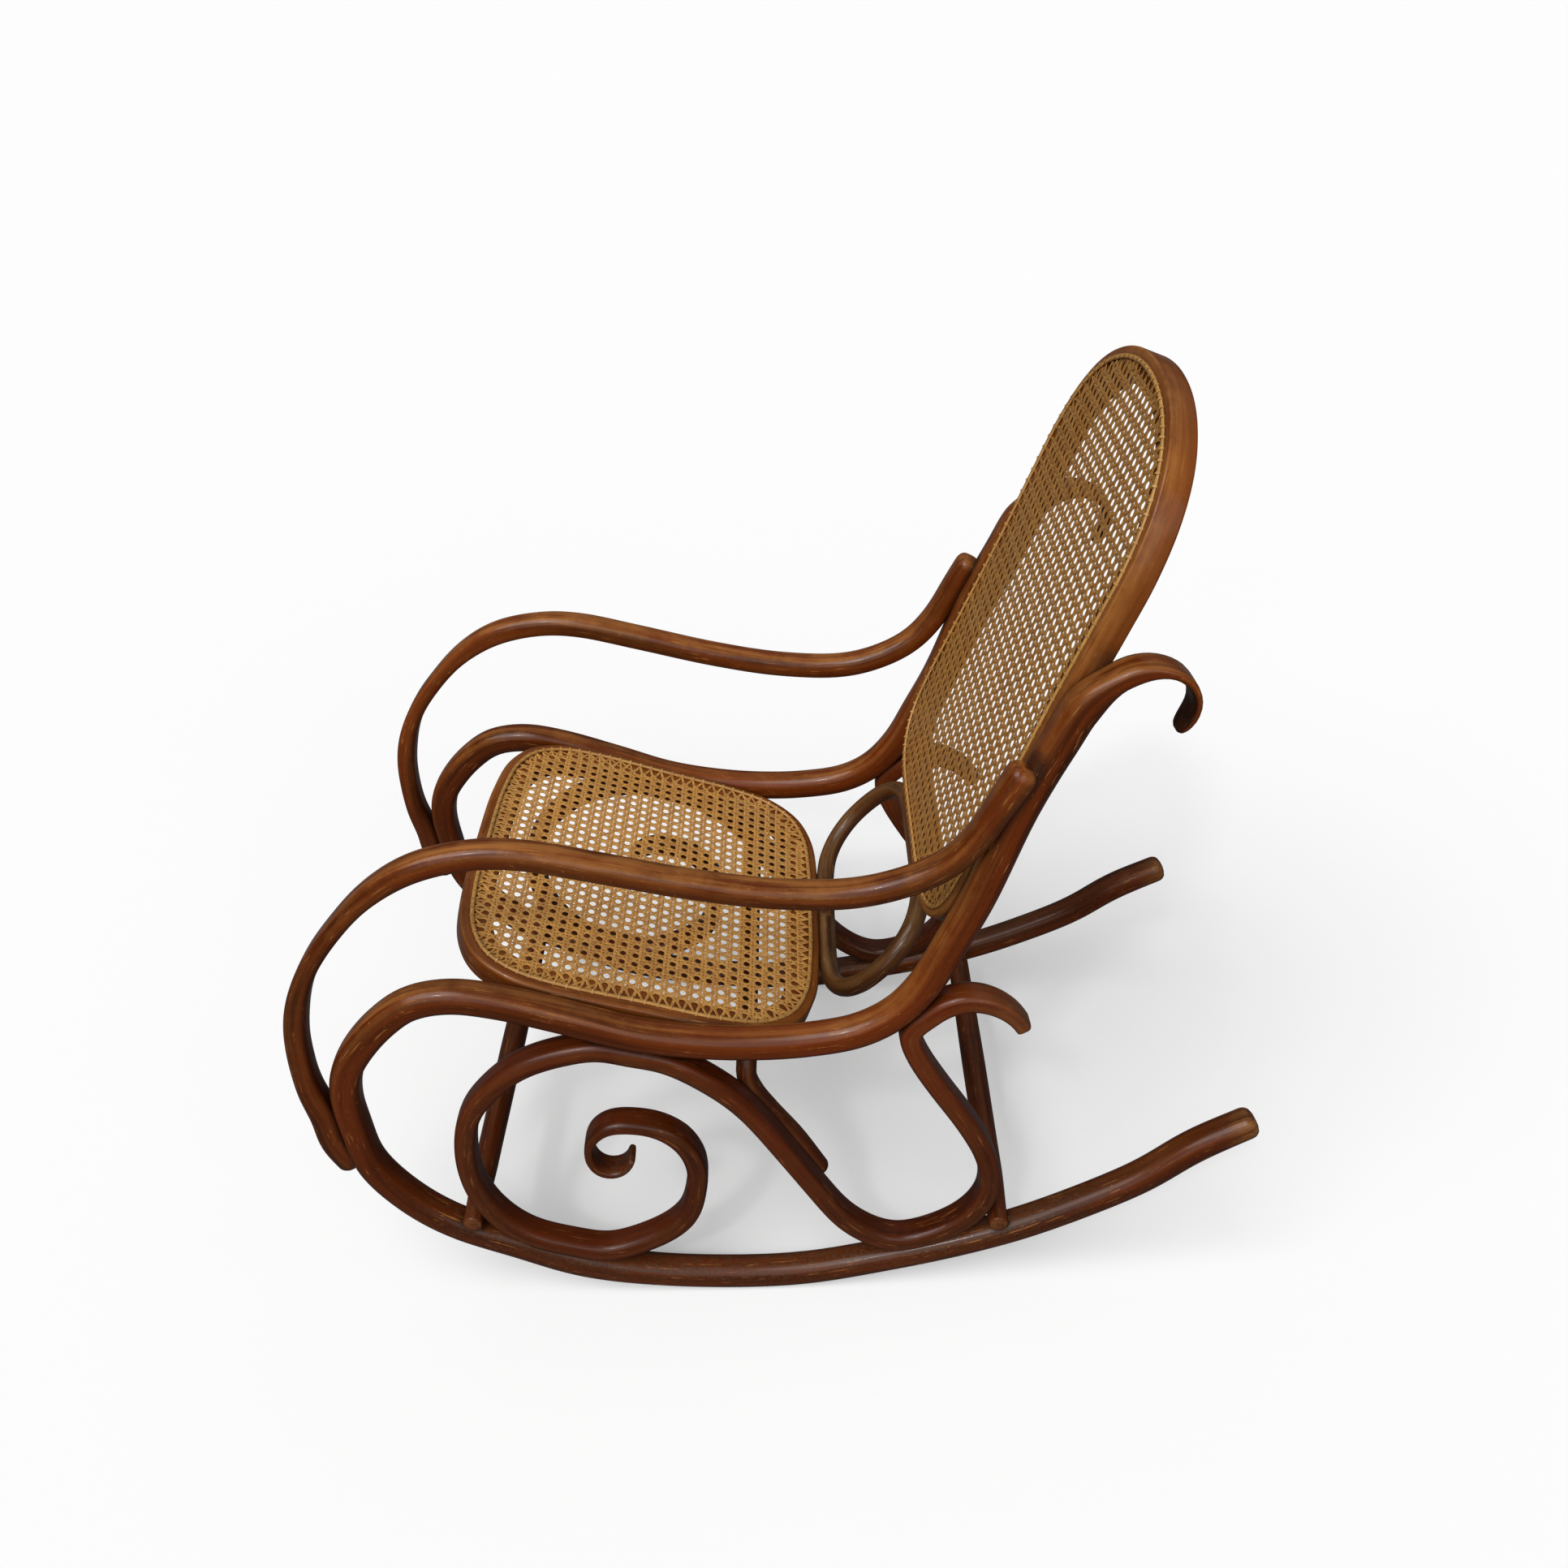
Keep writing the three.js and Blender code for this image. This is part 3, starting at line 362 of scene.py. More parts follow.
class Skin:
    """A closed skin drawn along stations by extruding one ring of edges, with its grain."""

    def __init__(self, sides: int = 0, section: Rows = ()) -> None:
        """Starts with a unit circle of so many sides, with the corners of a section, or empty.

        Args:
            sides: Sides of a unit circle, or 0 for none.
            section: The corners of a section, or none.
        """
        self.bm = bmesh.new()
        self.grain = self.bm.verts.layers.float_vector.new("grain")
        if sides:
            bmesh.ops.create_circle(self.bm, cap_ends=False, segments=sides, radius=1.0)
        corners = [self.bm.verts.new((x, y, 0.0)) for x, y in section]
        for corner, after in zip(corners, corners[1:] + corners[:1]):
            self.bm.edges.new((corner, after))
        self.verts, self.edges = list(self.bm.verts), list(self.bm.edges)
        self.first_edges = self.edges
        self.matrix = Matrix()
        self.spine: list[Vector] = []

    def add(self, matrix: Matrix, along: float, fullness: Optional[float] = None) -> None:
        """Puts the first ring at its station, or extrudes the newest ring to its next one.

        Args:
            matrix: The station's place and size.
            along: Millimetres along the piece.
            fullness: 2 for a circle; more swells the corners. None keeps the ring's shape.
        """
        if self.spine:
            made = bmesh.ops.extrude_edge_only(self.bm, edges=self.edges)["geom"]
            self.verts = [item for item in made if isinstance(item, bmesh.types.BMVert)]
            new, edges = set(self.verts), [item for item in made if isinstance(item, bmesh.types.BMEdge)]
            self.edges = [edge for edge in edges if new.issuperset(edge.verts)]
        bmesh.ops.transform(self.bm, matrix=matrix @ self.matrix.inverted(), verts=self.verts)
        self.matrix = matrix
        back = matrix.inverted()
        wide, deep = matrix.col[0].to_3d().length, matrix.col[1].to_3d().length
        for vert in self.verts:
            local = back @ vert.co
            if fullness is not None:
                local = local / (abs(local.x) ** fullness + abs(local.y) ** fullness) ** (1.0 / fullness)
                vert.co = matrix @ local
            vert[self.grain] = Vector((along, local.x * wide, local.y * deep)) * MM
        self.spine.append(matrix.to_translation())

    def close_ends(self) -> None:
        """Fills the first and the last ring."""
        bmesh.ops.holes_fill(self.bm, edges=self.first_edges + self.edges, sides=0)

    def close_ring(self, weld: float = 0.05) -> None:
        """Welds the last ring onto the first one."""
        bmesh.ops.remove_doubles(self.bm, verts=self.bm.verts, dist=weld)

    def on_side(self, side: Side) -> "Skin":
        """A copy of a left piece, mirrored for the right side and cut from another length of wood.

        Args:
            side: The side that the piece is for.

        Returns:
            This skin itself, or its mirrored copy.
        """
        twin = Skin()
        twin.bm.free()
        twin.bm = self.bm.copy()
        twin.grain = twin.bm.verts.layers.float_vector["grain"]
        twin.spine = [Vector((point.x * side.value, point.y, point.z)) for point in self.spine]
        if side is Side.RIGHT:
            bmesh.ops.transform(twin.bm, matrix=Matrix.Scale(-1.0, 4, X_AXIS), verts=twin.bm.verts)
            bmesh.ops.reverse_faces(twin.bm, faces=twin.bm.faces)
            for vert in twin.bm.verts:
                vert[twin.grain] = vert[twin.grain] + X_AXIS * TWIN_DISTANCE
        return twin


@dataclass
class BentRod:
    """A rod of oval section along a line, with rounded ends."""

    line: CentreLine
    sections: Rows
    lateral: Vector
    start_round: float
    end_round: float
    sides: int = 24
    step: float = 6.0
    tip_share: float = 0.42
    tip_steps: int = 6
    fullness: Rows = ((0, 2.0), (1, 2.0))

    def stations(self) -> list[tuple[float, float]]:
        """Shares of the length at which a ring stands, and the scale of each ring.

        Returns:
            Pairs of share and scale, from end to end.
        """
        length = self.line.length
        parts = steps_of(self.tip_steps)[:-1]
        tips = [(part, lerp(self.tip_share, 1, math.sqrt(1 - (1 - part) ** 2))) for part in parts]
        opening = [(part * self.start_round / length, scale) for part, scale in tips]
        closing = [(1 - part * self.end_round / length, scale) for part, scale in reversed(tips)]
        low, high = self.start_round, length - self.end_round
        inner = [(lerp(low, high, part) / length, 1.0) for part in steps_of(round((high - low) / self.step))]
        return [*opening, *inner, *closing]

    def skin(self) -> Skin:
        """Draws the rod's closed skin through its stations, in millimetres.

        Returns:
            The skin with its grain and spine.
        """
        skin = Skin(self.sides)
        across = self.lateral.copy()
        for share, scale in self.stations():
            tangent = self.line.tangent(share)
            across = (across - tangent * across.dot(tangent)).normalized()
            thickness, width = (size / 2 * scale for size in row_at(self.sections, share))
            matrix = station(self.line.at(share), across, tangent.cross(across), width, thickness)
            skin.add(matrix, share * self.line.length, *row_at(self.fullness, share))
        skin.close_ends()
        return skin


class Graph:
    """Short words for adding nodes to one tree and linking them."""

    def __init__(self, tree: NodeTree) -> None:
        """Takes the tree that the nodes go into."""
        self.tree = tree

    def node(self, kind: str, inputs: Optional[dict] = None, **settings: object) -> bpy.types.Node:
        """Adds a node.

        Args:
            kind: Blender's name of the node type, without its ShaderNode.
            inputs: Sockets to link or values to set, by the input's name or number.
            settings: Properties of the node.

        Returns:
            The new node.
        """
        made = self.tree.nodes.new(kind if kind.startswith("NodeGroup") else f"ShaderNode{kind}")
        for key, value in settings.items():
            setattr(made, key, value)
        for key, value in (inputs or {}).items():
            if isinstance(value, Socket):
                self.tree.links.new(value, made.inputs[key])
            else:
                made.inputs[key].default_value = value
        return made

    def math(self, operation: str, *values: object) -> Socket:
        """The result of a Math node."""
        return self.node("Math", dict(enumerate(values)), operation=operation).outputs[0]

    def total(self, *terms: tuple[object, object]) -> Socket:
        """The sum of values, each times its weight.

        Args:
            terms: Pairs of a value and its weight.

        Returns:
            The socket that holds the sum.
        """
        result = 0.0
        for value, weight in terms:
            result = self.math("MULTIPLY_ADD", value, weight, result)
        return result

    def noise(self, vector: object, scale: float, detail: float, rough: float) -> Socket:
        """The value of a Noise Texture with so many cells in a metre."""
        inputs = {"Vector": vector, "Scale": scale, "Detail": detail, "Roughness": rough}
        return self.node("TexNoise", inputs).outputs["Fac"]

    def threads(self, grain: object, along: float, across: float, detail: float, rough: float) -> Socket:
        """The value of a noise with so many cells in a metre along the grain and across it."""
        scaled = self.node("Mapping", {"Vector": grain, "Scale": (along, across, across)}).outputs[0]
        return self.noise(scaled, 1.0, detail, rough)

    def band(self, value: object, low: float, high: float, start: float = 0.0, end: float = 1.0) -> Socket:
        """Eases from start to end while the value goes from low to high."""
        inputs = {"Value": value, "From Min": low, "From Max": high, "To Min": start, "To Max": end}
        return self.node("MapRange", inputs, interpolation_type="SMOOTHSTEP").outputs[0]

    def mix(self, factor: object, first: object, second: object) -> Socket:
        """The colour at a share of the way from the first one to the second."""
        return self.node("Mix", {0: factor, 6: first, 7: second}, data_type="RGBA").outputs[2]

    def group(self, tree: NodeTree, **inputs: object) -> bpy.types.bpy_prop_collection:
        """The outputs of a shared effect."""
        return self.node("Group", inputs, node_tree=tree).outputs

    def attribute(self, name: str) -> Socket:
        """A vector that the mesh carries."""
        return self.node("Attribute", attribute_name=name).outputs["Vector"]

    def place(self) -> Socket:
        """The place on the chair, in metres."""
        return self.node("TexCoord").outputs["Object"]

    def bump(self, height: Socket, strength: float, distance: float) -> Socket:
        """A surface direction that is pushed about by a height."""
        inputs = {"Height": height, "Strength": strength, "Distance": distance}
        return self.node("Bump", inputs).outputs[0]

    def seen(self) -> Socket:
        """1 for what the camera sees, also through clear things, and 0 for what only lights."""
        path = self.node("LightPath").outputs
        return self.math("MAXIMUM", path["Is Camera Ray"], path["Is Transmission Ray"])


class EffectGraph(Graph):
    """The inside of a shader node group."""

    def __init__(self, name: str, **takes: object) -> None:
        """Starts the group with its inputs.

        Args:
            name: The group's name.
            takes: Default of each input: None for a vector, a tuple for a colour, or a number.
        """
        super().__init__(bpy.data.node_groups.new(name, "ShaderNodeTree"))
        for label, default in takes.items():
            kind = "Vector" if default is None else "Color" if isinstance(default, tuple) else "Float"
            socket = self.tree.interface.new_socket(label, in_out="INPUT", socket_type=f"NodeSocket{kind}")
            if default is not None:
                socket.default_value = default
        self.given = self.node("NodeGroupInput").outputs

    def give(self, **results: Socket) -> NodeTree:
        """Ends the group with its outputs, a colour where the name says so, and gives its tree.

        Args:
            results: The sockets to put out, each under its output's name.

        Returns:
            The group's tree.
        """
        for label in results:
            kind = "Color" if label == "Color" else "Float"
            self.tree.interface.new_socket(label, in_out="OUTPUT", socket_type=f"NodeSocket{kind}")
        self.node("NodeGroupOutput", results)
        return self.tree


class MaterialGraph(Graph):
    """The nodes of one material."""

    def __init__(self, name: str) -> None:
        """Starts the material with an empty tree.

        Args:
            name: The material's name.
        """
        self.material = bpy.data.materials.new(name)
        self.material.use_nodes = True
        super().__init__(self.material.node_tree)
        self.tree.nodes.clear()

    def surface(self, shader: bpy.types.Node) -> Material:
        """Ends the material with its shader."""
        self.node("OutputMaterial", {"Surface": shader.outputs[0]})
        return self.material


def rgb(red: int, green: int, blue: int) -> Colour:
    """A colour as the eye names it, turned into the light that a shader mixes.

    Args:
        red: Red, 0 to 255.
        green: Green, 0 to 255.
        blue: Blue, 0 to 255.

    Returns:
        The colour with its alpha of 1.
    """

    def linear(value: int) -> float:
        """One channel as light."""
        part = value / 255
        return part / 12.92 if part <= 0.04045 else ((part + 0.055) / 1.055) ** 2.4

    return linear(red), linear(green), linear(blue), 1.0


class Effects:
    """The node groups that several finishes share."""

    def __init__(self) -> None:
        """Builds each group once."""
        self.grain, self.wear_with_painted_shading = self._grain(), self._rubbing_and_painted_shading()
        self.fibre, self.dust = self._fibre(), self._dust()

    @staticmethod
    def _grain() -> NodeTree:
        """Wood grain that runs along the piece: streaks, soft clouds and short flecks.

        Returns:
            The group's tree.
        """
        graph = EffectGraph(
            "wood_grain", Grain=None, Light=(0.2, 0.08, 0.04, 1), Dark=(0.05, 0.02, 0.01, 1), Contrast=1.0
        )
        given = graph.given
        streaks = graph.threads(given["Grain"], 5, 110, 5.0, 0.6)
        fine = graph.threads(given["Grain"], 14, 700, 3.0, 0.6)
        clouds = graph.threads(given["Grain"], 3, 26, 3.0, 0.5)
        fleck = graph.band(graph.threads(given["Grain"], 160, 1500, 1.0, 0.5), 0.63, 0.72)
        body = graph.band(graph.total((streaks, 0.55), (clouds, 0.45)), 0.33, 0.68)
        body = graph.math("MULTIPLY_ADD", graph.math("SUBTRACT", body, 0.5), given["Contrast"], 0.5)
        body = graph.math("MULTIPLY_ADD", graph.math("SUBTRACT", fine, 0.5), 0.35, body)
        body = graph.node("Clamp", {"Value": body}).outputs[0]
        colour = graph.mix(body, given["Dark"], given["Light"])
        colour = graph.mix(graph.math("MULTIPLY", fleck, 0.55), colour, given["Dark"])
        return graph.give(Color=colour, Height=graph.total((fine, 0.6), (fleck, -0.5)))

    @staticmethod
    def _rubbing_and_painted_shading() -> NodeTree:
        """Rubbed places, painted shade and scuffs over a finish, from the piece's marks.

        Returns:
            The group's tree.
        """
        graph = EffectGraph(
            "handling_wear_painted_shading",
            Color=(0.1, 0.05, 0.03, 1),
            Marks=None,
            Place=None,
            Grain=None,
            Rubbed=(0.3, 0.15, 0.09, 1),
            Grime=(0.01, 0.006, 0.004, 1),
            Scuffed=(0.15, 0.12, 0.1, 1),
            Gloss=0.3,
        )
        given = graph.given
        marks = graph.node("SeparateXYZ", {0: given["Marks"]}).outputs
        patches = graph.noise(given["Place"], 26.0, 6.0, 0.65)
        specks = graph.noise(given["Place"], 260.0, 3.0, 0.6)
        smears = graph.noise(given["Place"], 9.0, 5.0, 0.6)
        streaks = graph.threads(given["Grain"], 6, 130, 4.0, 0.6)
        lines = graph.threads(given["Grain"], 28, 480, 2.0, 0.5)
        flakes = graph.threads(given["Grain"], 110, 260, 5.0, 0.7)
        spread = graph.total((patches, 0.35), (streaks, 0.65))
        rub = graph.math("MULTIPLY", marks[0], graph.band(spread, 0.36, 0.64))
        # Painted shade from the marks' second channel, in uneven patches; it also dulls the polish
        grime = graph.math("MULTIPLY", marks[1], graph.band(patches, 0.25, 0.6, 0.65, 1.0))
        scuff = graph.math("MULTIPLY", marks[2], graph.band(specks, 0.35, 0.7))
        nick = graph.band(specks, 0.7, 0.76, 0.0, 0.5)
        scratch, chip = graph.band(lines, 0.64, 0.69, 0.0, 0.75), graph.band(flakes, 0.62, 0.67, 0.0, 0.7)
        scratch = graph.math("MULTIPLY", scratch, graph.band(patches, 0.4, 0.6))
        chip = graph.math("MULTIPLY", chip, graph.band(patches, 0.46, 0.62))
        colour = given["Color"]
        for share, tone in ((rub, "Rubbed"), (grime, "Grime"), (scuff, "Scuffed")):
            colour = graph.mix(share, colour, given[tone])
        for share in (nick, scratch, chip):
            colour = graph.mix(share, colour, given["Rubbed"])
        uneven = graph.band(smears, 0.3, 0.7, -0.07, 0.1)
        rough = graph.total((given["Gloss"], 1.0), (uneven, 1.0), (grime, 0.25), (scuff, 0.3))
        return graph.give(Color=colour, Roughness=rough)

    @staticmethod
    def _fibre() -> NodeTree:
        """Long fibres of split cane, with a tone of its own for each strand.

        Returns:
            The group's tree.
        """
        graph = EffectGraph(
            "cane_fibre", Grain=None, Tone=0.5, Light=(0.6, 0.4, 0.15, 1), Dark=(0.3, 0.16, 0.05, 1)
        )
        given = graph.given
        fibres = graph.threads(given["Grain"], 40, 2200, 3.0, 0.6)
        stains = graph.threads(given["Grain"], 60, 60, 3.0, 0.55)
        share = graph.band(graph.total((fibres, 0.5), (stains, 0.5)), 0.3, 0.68)
        share = graph.total((share, 0.6), (given["Tone"], 0.4))
        return graph.give(Color=graph.mix(share, given["Dark"], given["Light"]), Height=fibres)

    @staticmethod
    def _dust() -> NodeTree:
        """A thin pale veil in uneven patches.

        Returns:
            The group's tree.
        """
        graph = EffectGraph(
            "dust_veil", Color=(0.5, 0.5, 0.5, 1), Place=None, Veil=(0.4, 0.36, 0.32, 1), Amount=0.1
        )
        given = graph.given
        patches = graph.band(graph.noise(given["Place"], 18.0, 6.0, 0.65), 0.35, 0.75)
        share = graph.math("MULTIPLY", patches, given["Amount"])
        return graph.give(Color=graph.mix(share, given["Color"], given["Veil"]))


@dataclass(frozen=True)
class BeechFinish:
    """Stained beech under an old thin polish."""

    name: str
    light: Colour = rgb(118, 50, 10)
    dark: Colour = rgb(50, 18, 2)
    rubbed: Colour = rgb(162, 104, 50)
    # Colour of the painted shade in corners, low down and inside the rail's upper curl
    grime: Colour = rgb(22, 10, 5)
    scuffed: Colour = rgb(76, 58, 38)
    gloss: float = 0.25
    contrast: float = 0.8
    specular: float = 0.2
    coat: float = 0.16
    coat_roughness: float = 0.1
    relief: float = 0.12
    relief_depth: float = 0.0006

    def material(self, effects: Effects) -> Material:
        """Builds the material from the shared effects.

        Args:
            effects: The shared effects.

        Returns:
            The new material.
        """
        graph = MaterialGraph(self.name)
        grain = graph.attribute("grain")
        wood = graph.group(effects.grain, Grain=grain, Light=self.light, Dark=self.dark, Contrast=self.contrast)
        # Rubbing, scuffs and the painted shade of the piece's marks over the grain
        worn = graph.group(
            effects.wear_with_painted_shading,
            Color=wood["Color"],
            Marks=graph.attribute("marks"),
            Place=graph.place(),
            Grain=grain,
            Rubbed=self.rubbed,
            Grime=self.grime,
            Scuffed=self.scuffed,
            Gloss=self.gloss,
        )
        inputs = {
            "Base Color": worn["Color"],
            "Roughness": worn["Roughness"],
            "Normal": graph.bump(wood["Height"], self.relief, self.relief_depth),
            "Specular IOR Level": self.specular,
            "Coat Weight": self.coat,
            "Coat Roughness": self.coat_roughness,
        }
        return graph.surface(graph.node("BsdfPrincipled", inputs))


@dataclass(frozen=True)
class CaneFinish:
    """Split cane, golden with age."""

    name: str
    light: Colour = rgb(216, 160, 80)
    dark: Colour = rgb(146, 92, 38)
    veil: Colour = rgb(160, 134, 96)
    roughness: float = 0.46
    dust: float = 0.2
    relief: float = 0.25
    relief_depth: float = 0.0003

    def material(self, effects: Effects) -> Material:
        """Builds the material from the shared effects.

        Args:
            effects: The shared effects.

        Returns:
            The new material.
        """
        graph = MaterialGraph(self.name)
        tone = graph.node("SeparateXYZ", {0: graph.attribute("marks")}).outputs[0]
        grain, place = graph.attribute("grain"), graph.place()
        fibre = graph.group(effects.fibre, Grain=grain, Tone=tone, Light=self.light, Dark=self.dark)
        veiled = graph.group(effects.dust, Color=fibre["Color"], Place=place, Amount=self.dust, Veil=self.veil)
        inputs = {
            "Base Color": veiled["Color"],
            "Roughness": self.roughness,
            "Normal": graph.bump(fibre["Height"], self.relief, self.relief_depth),
        }
        return graph.surface(graph.node("BsdfPrincipled", inputs))


@dataclass(frozen=True)
class SteelFinish:
    """Old steel screws, dulled and a little rusty."""

    name: str
    steel: Colour = rgb(120, 112, 104)
    rust: Colour = rgb(72, 44, 28)
    roughness: float = 0.42
    rust_roughness: float = 0.75
    metallic: float = 0.9
    rust_metallic: float = 0.2
    relief: float = 0.2
    relief_depth: float = 0.0002

    def material(self, effects: Effects) -> Material:
        """Builds the material from the shared effects.

        Args:
            effects: The shared effects.

        Returns:
            The new material.
        """
        graph = MaterialGraph(self.name)
        place = graph.place()
        spots = graph.band(graph.noise(place, 420.0, 5.0, 0.65), 0.42, 0.66)
        veiled = graph.group(effects.dust, Color=graph.mix(spots, self.steel, self.rust), Place=place)
        inputs = {
            "Base Color": veiled["Color"],
            "Roughness": graph.band(spots, 0.0, 1.0, self.roughness, self.rust_roughness),
            "Metallic": graph.band(spots, 0.0, 1.0, self.metallic, self.rust_metallic),
            "Normal": graph.bump(spots, self.relief, self.relief_depth),
        }
        return graph.surface(graph.node("BsdfPrincipled", inputs))


def link_new(name: str, data: bpy.types.ID) -> bpy.types.Object:
    """Puts a new object with its data into the scene."""
    made = bpy.data.objects.new(name, data)
    bpy.context.scene.collection.objects.link(made)
    return made


@dataclass(frozen=True)
class Label:
    """What a piece is: its name, the solid that it stands for, its finish and its slot.

    Edges that bend by more degrees than sharp stay sharp.
    """

    name: str
    node: str
    material: Material
    slot: Slot = Slot.BEECH
    sharp: float = 50.0


@dataclass
class Workshop:
    """Turns shaped meshes into finished pieces on the chair.

    Its shift is how far the frame lies behind the drawing's origin, in millimetres.
    """

    shift: float
    effects: Effects
    # Painted shade where another piece comes near, fading out over corner_reach metres
    painted_corner_shade: float = 0.85
    corner_reach: float = 0.01
    # Painted shade on the low parts under the seat, darker towards the floor between the heights of low_band
    painted_low_shade: float = 0.3
    low_band: Band = (0.4, 0.2)

    def __post_init__(self) -> None:
        """Starts the lists of the wooden pieces and of where they run."""
        self.wooden: list[tuple[bpy.types.Object, MarkRule]] = []
        self.spines: list[tuple[str, list[Vector], float]] = []

    def finish(self, bm: bmesh.types.BMesh, label: Label) -> bpy.types.Object:
        """Makes a piece from a mesh in millimetres.

        Args:
            bm: The shaped mesh, which is used up.
            label: What the piece is.

        Returns:
            The piece's object, riding on the chair.
        """
        matrix = Matrix.Translation(Y_AXIS * self.shift * MM) @ Matrix.Scale(MM, 4)
        bmesh.ops.transform(bm, matrix=matrix, verts=bm.verts)
        bmesh.ops.recalc_face_normals(bm, faces=bm.faces)
        mesh = bpy.data.meshes.new(label.name)
        bm.to_mesh(mesh)
        bm.free()
        mesh.shade_smooth()
        mesh.set_sharp_from_angle(angle=math.radians(label.sharp))
        mesh.materials.append(label.material)
        piece = link_new(label.name, mesh)
        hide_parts(label.node)
        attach(piece, "root")
        LOG.info("%s: %d faces", label.name, len(mesh.polygons))
        return piece

    def add_wood(self, skin: Skin, label: Label, marks: MarkRule, radius: float) -> None:
        """Makes a wooden piece and remembers where it runs, for the painted shade in the corners of its
        neighbours.

        Args:
            skin: The piece's skin and spine.
            label: What the piece is.
            marks: Rubbing, painted shade and scuffs at a place.
            radius: Millimetres from the spine to the skin.
        """
        self.wooden.append((self.finish(skin.bm, label), marks))
        places = [(point + Y_AXIS * self.shift) * MM for point in skin.spine]
        self.spines.append((label.name, places, radius * MM))

    def mark_wood(self) -> None:
        """Writes the rubbing, the painted shade in corners and low down, and the scuffs of all wooden pieces.
        """
        for piece, rule in self.wooden:
            others = [spine for spine in self.spines if spine[0] != piece.name]
            near = [(place, radius) for _, places, radius in others for place in places]
            tree = kdtree.KDTree(len(near))
            for index, (place, _) in enumerate(near):
                tree.insert(place, index)
            tree.balance()
            mesh = piece.data
            marks = mesh.attributes.new("marks", "FLOAT_VECTOR", "POINT")
            for vertex in mesh.vertices:
                grain = mesh.attributes["grain"].data[vertex.index].vector
                rub, painted_rule_shade, scuff = rule(vertex.co, vertex.normal, Vector(grain))
                _, index, distance = tree.find(vertex.co)
                # Painted shade in the corners where another piece comes near
                corner = self.painted_corner_shade * smoothstep(distance - near[index][1], self.corner_reach, 0.0)
                # Painted shade, darker towards the floor
                low = self.painted_low_shade * smoothstep(vertex.co.z, *self.low_band)
                marks.data[vertex.index].vector = (rub, max(corner, low, painted_rule_shade), scuff)


def plain_marks(place: Vector, normal: Vector, grain: Vector) -> Marks:
    """Marks of a piece that few hands touch: rubbed on top, pale on its sawn ends."""
    top_rub, end_rub, end_scuff, end_facing = 0.35, 0.8, 0.3, (0.85, 0.98)
    sawn = smoothstep(abs(normal.x), *end_facing)
    return top_rub * max(normal.z, 0.0) + end_rub * sawn, 0.0, end_scuff * sawn


@dataclass
class SideRod:
    """A rod of the side frames, drawn on the left and twinned on the right.

    The bands of a rod's marks are the metres between which they come or go, and its rubs, scuffs
    and painted shade say how strong they are.
    """

    word: ClassVar[str]
    node: ClassVar[str]
    spans: ClassVar[int]

    plane: SidePlane

    @property
    def thickness(self) -> float:
        """The rod's thickness along most of its length."""
        return self.plane.rod_diameter

    def marks(self, place: Vector, normal: Vector, grain: Vector) -> Marks:
        """Rubbing, painted shade and scuffs at a place of the rod."""
        raise NotImplementedError

    def skin(self) -> Skin:
        """The left rod's skin."""
        raise NotImplementedError

    def bent(self, outline: CentreLine, end_round: float, sides: int = 24, step: float = 6.0) -> Skin:
        """Eases an outline into the side frame and draws the rod along it.

        Args:
            outline: The rod's line in the middle plane of the chair.
            end_round: Rounding of its last end.
            sides: Points of each ring.
            step: Millimetres from ring to ring.

        Returns:
            The left rod's skin.
        """
        line = self.plane.onto_side(outline.eased(self.ease), self.spans, self.shift)
        rod = BentRod(line, self.sections, self.plane.normal, self.tip_round, end_round, sides, step)
        rod.fullness = self.fullness
        return rod.skin()

    def shift(self, share: float) -> float:
        """How far outwards of the side frame the rod lies at a share of its length."""
        return 0.0

    def build(self, workshop: Workshop, material: Material) -> None:
        """Makes the rods of both sides.

        Args:
            workshop: The chair's workshop, which the pieces go to.
            material: The finish of the wood.
        """
        drawn = self.skin()
        for side in Side:
            label = Label(f"{side.word}_{self.word}_rod", f"{side.word}_{self.node}", material)
            workshop.add_wood(drawn.on_side(side), label, self.marks, self.thickness / 2)


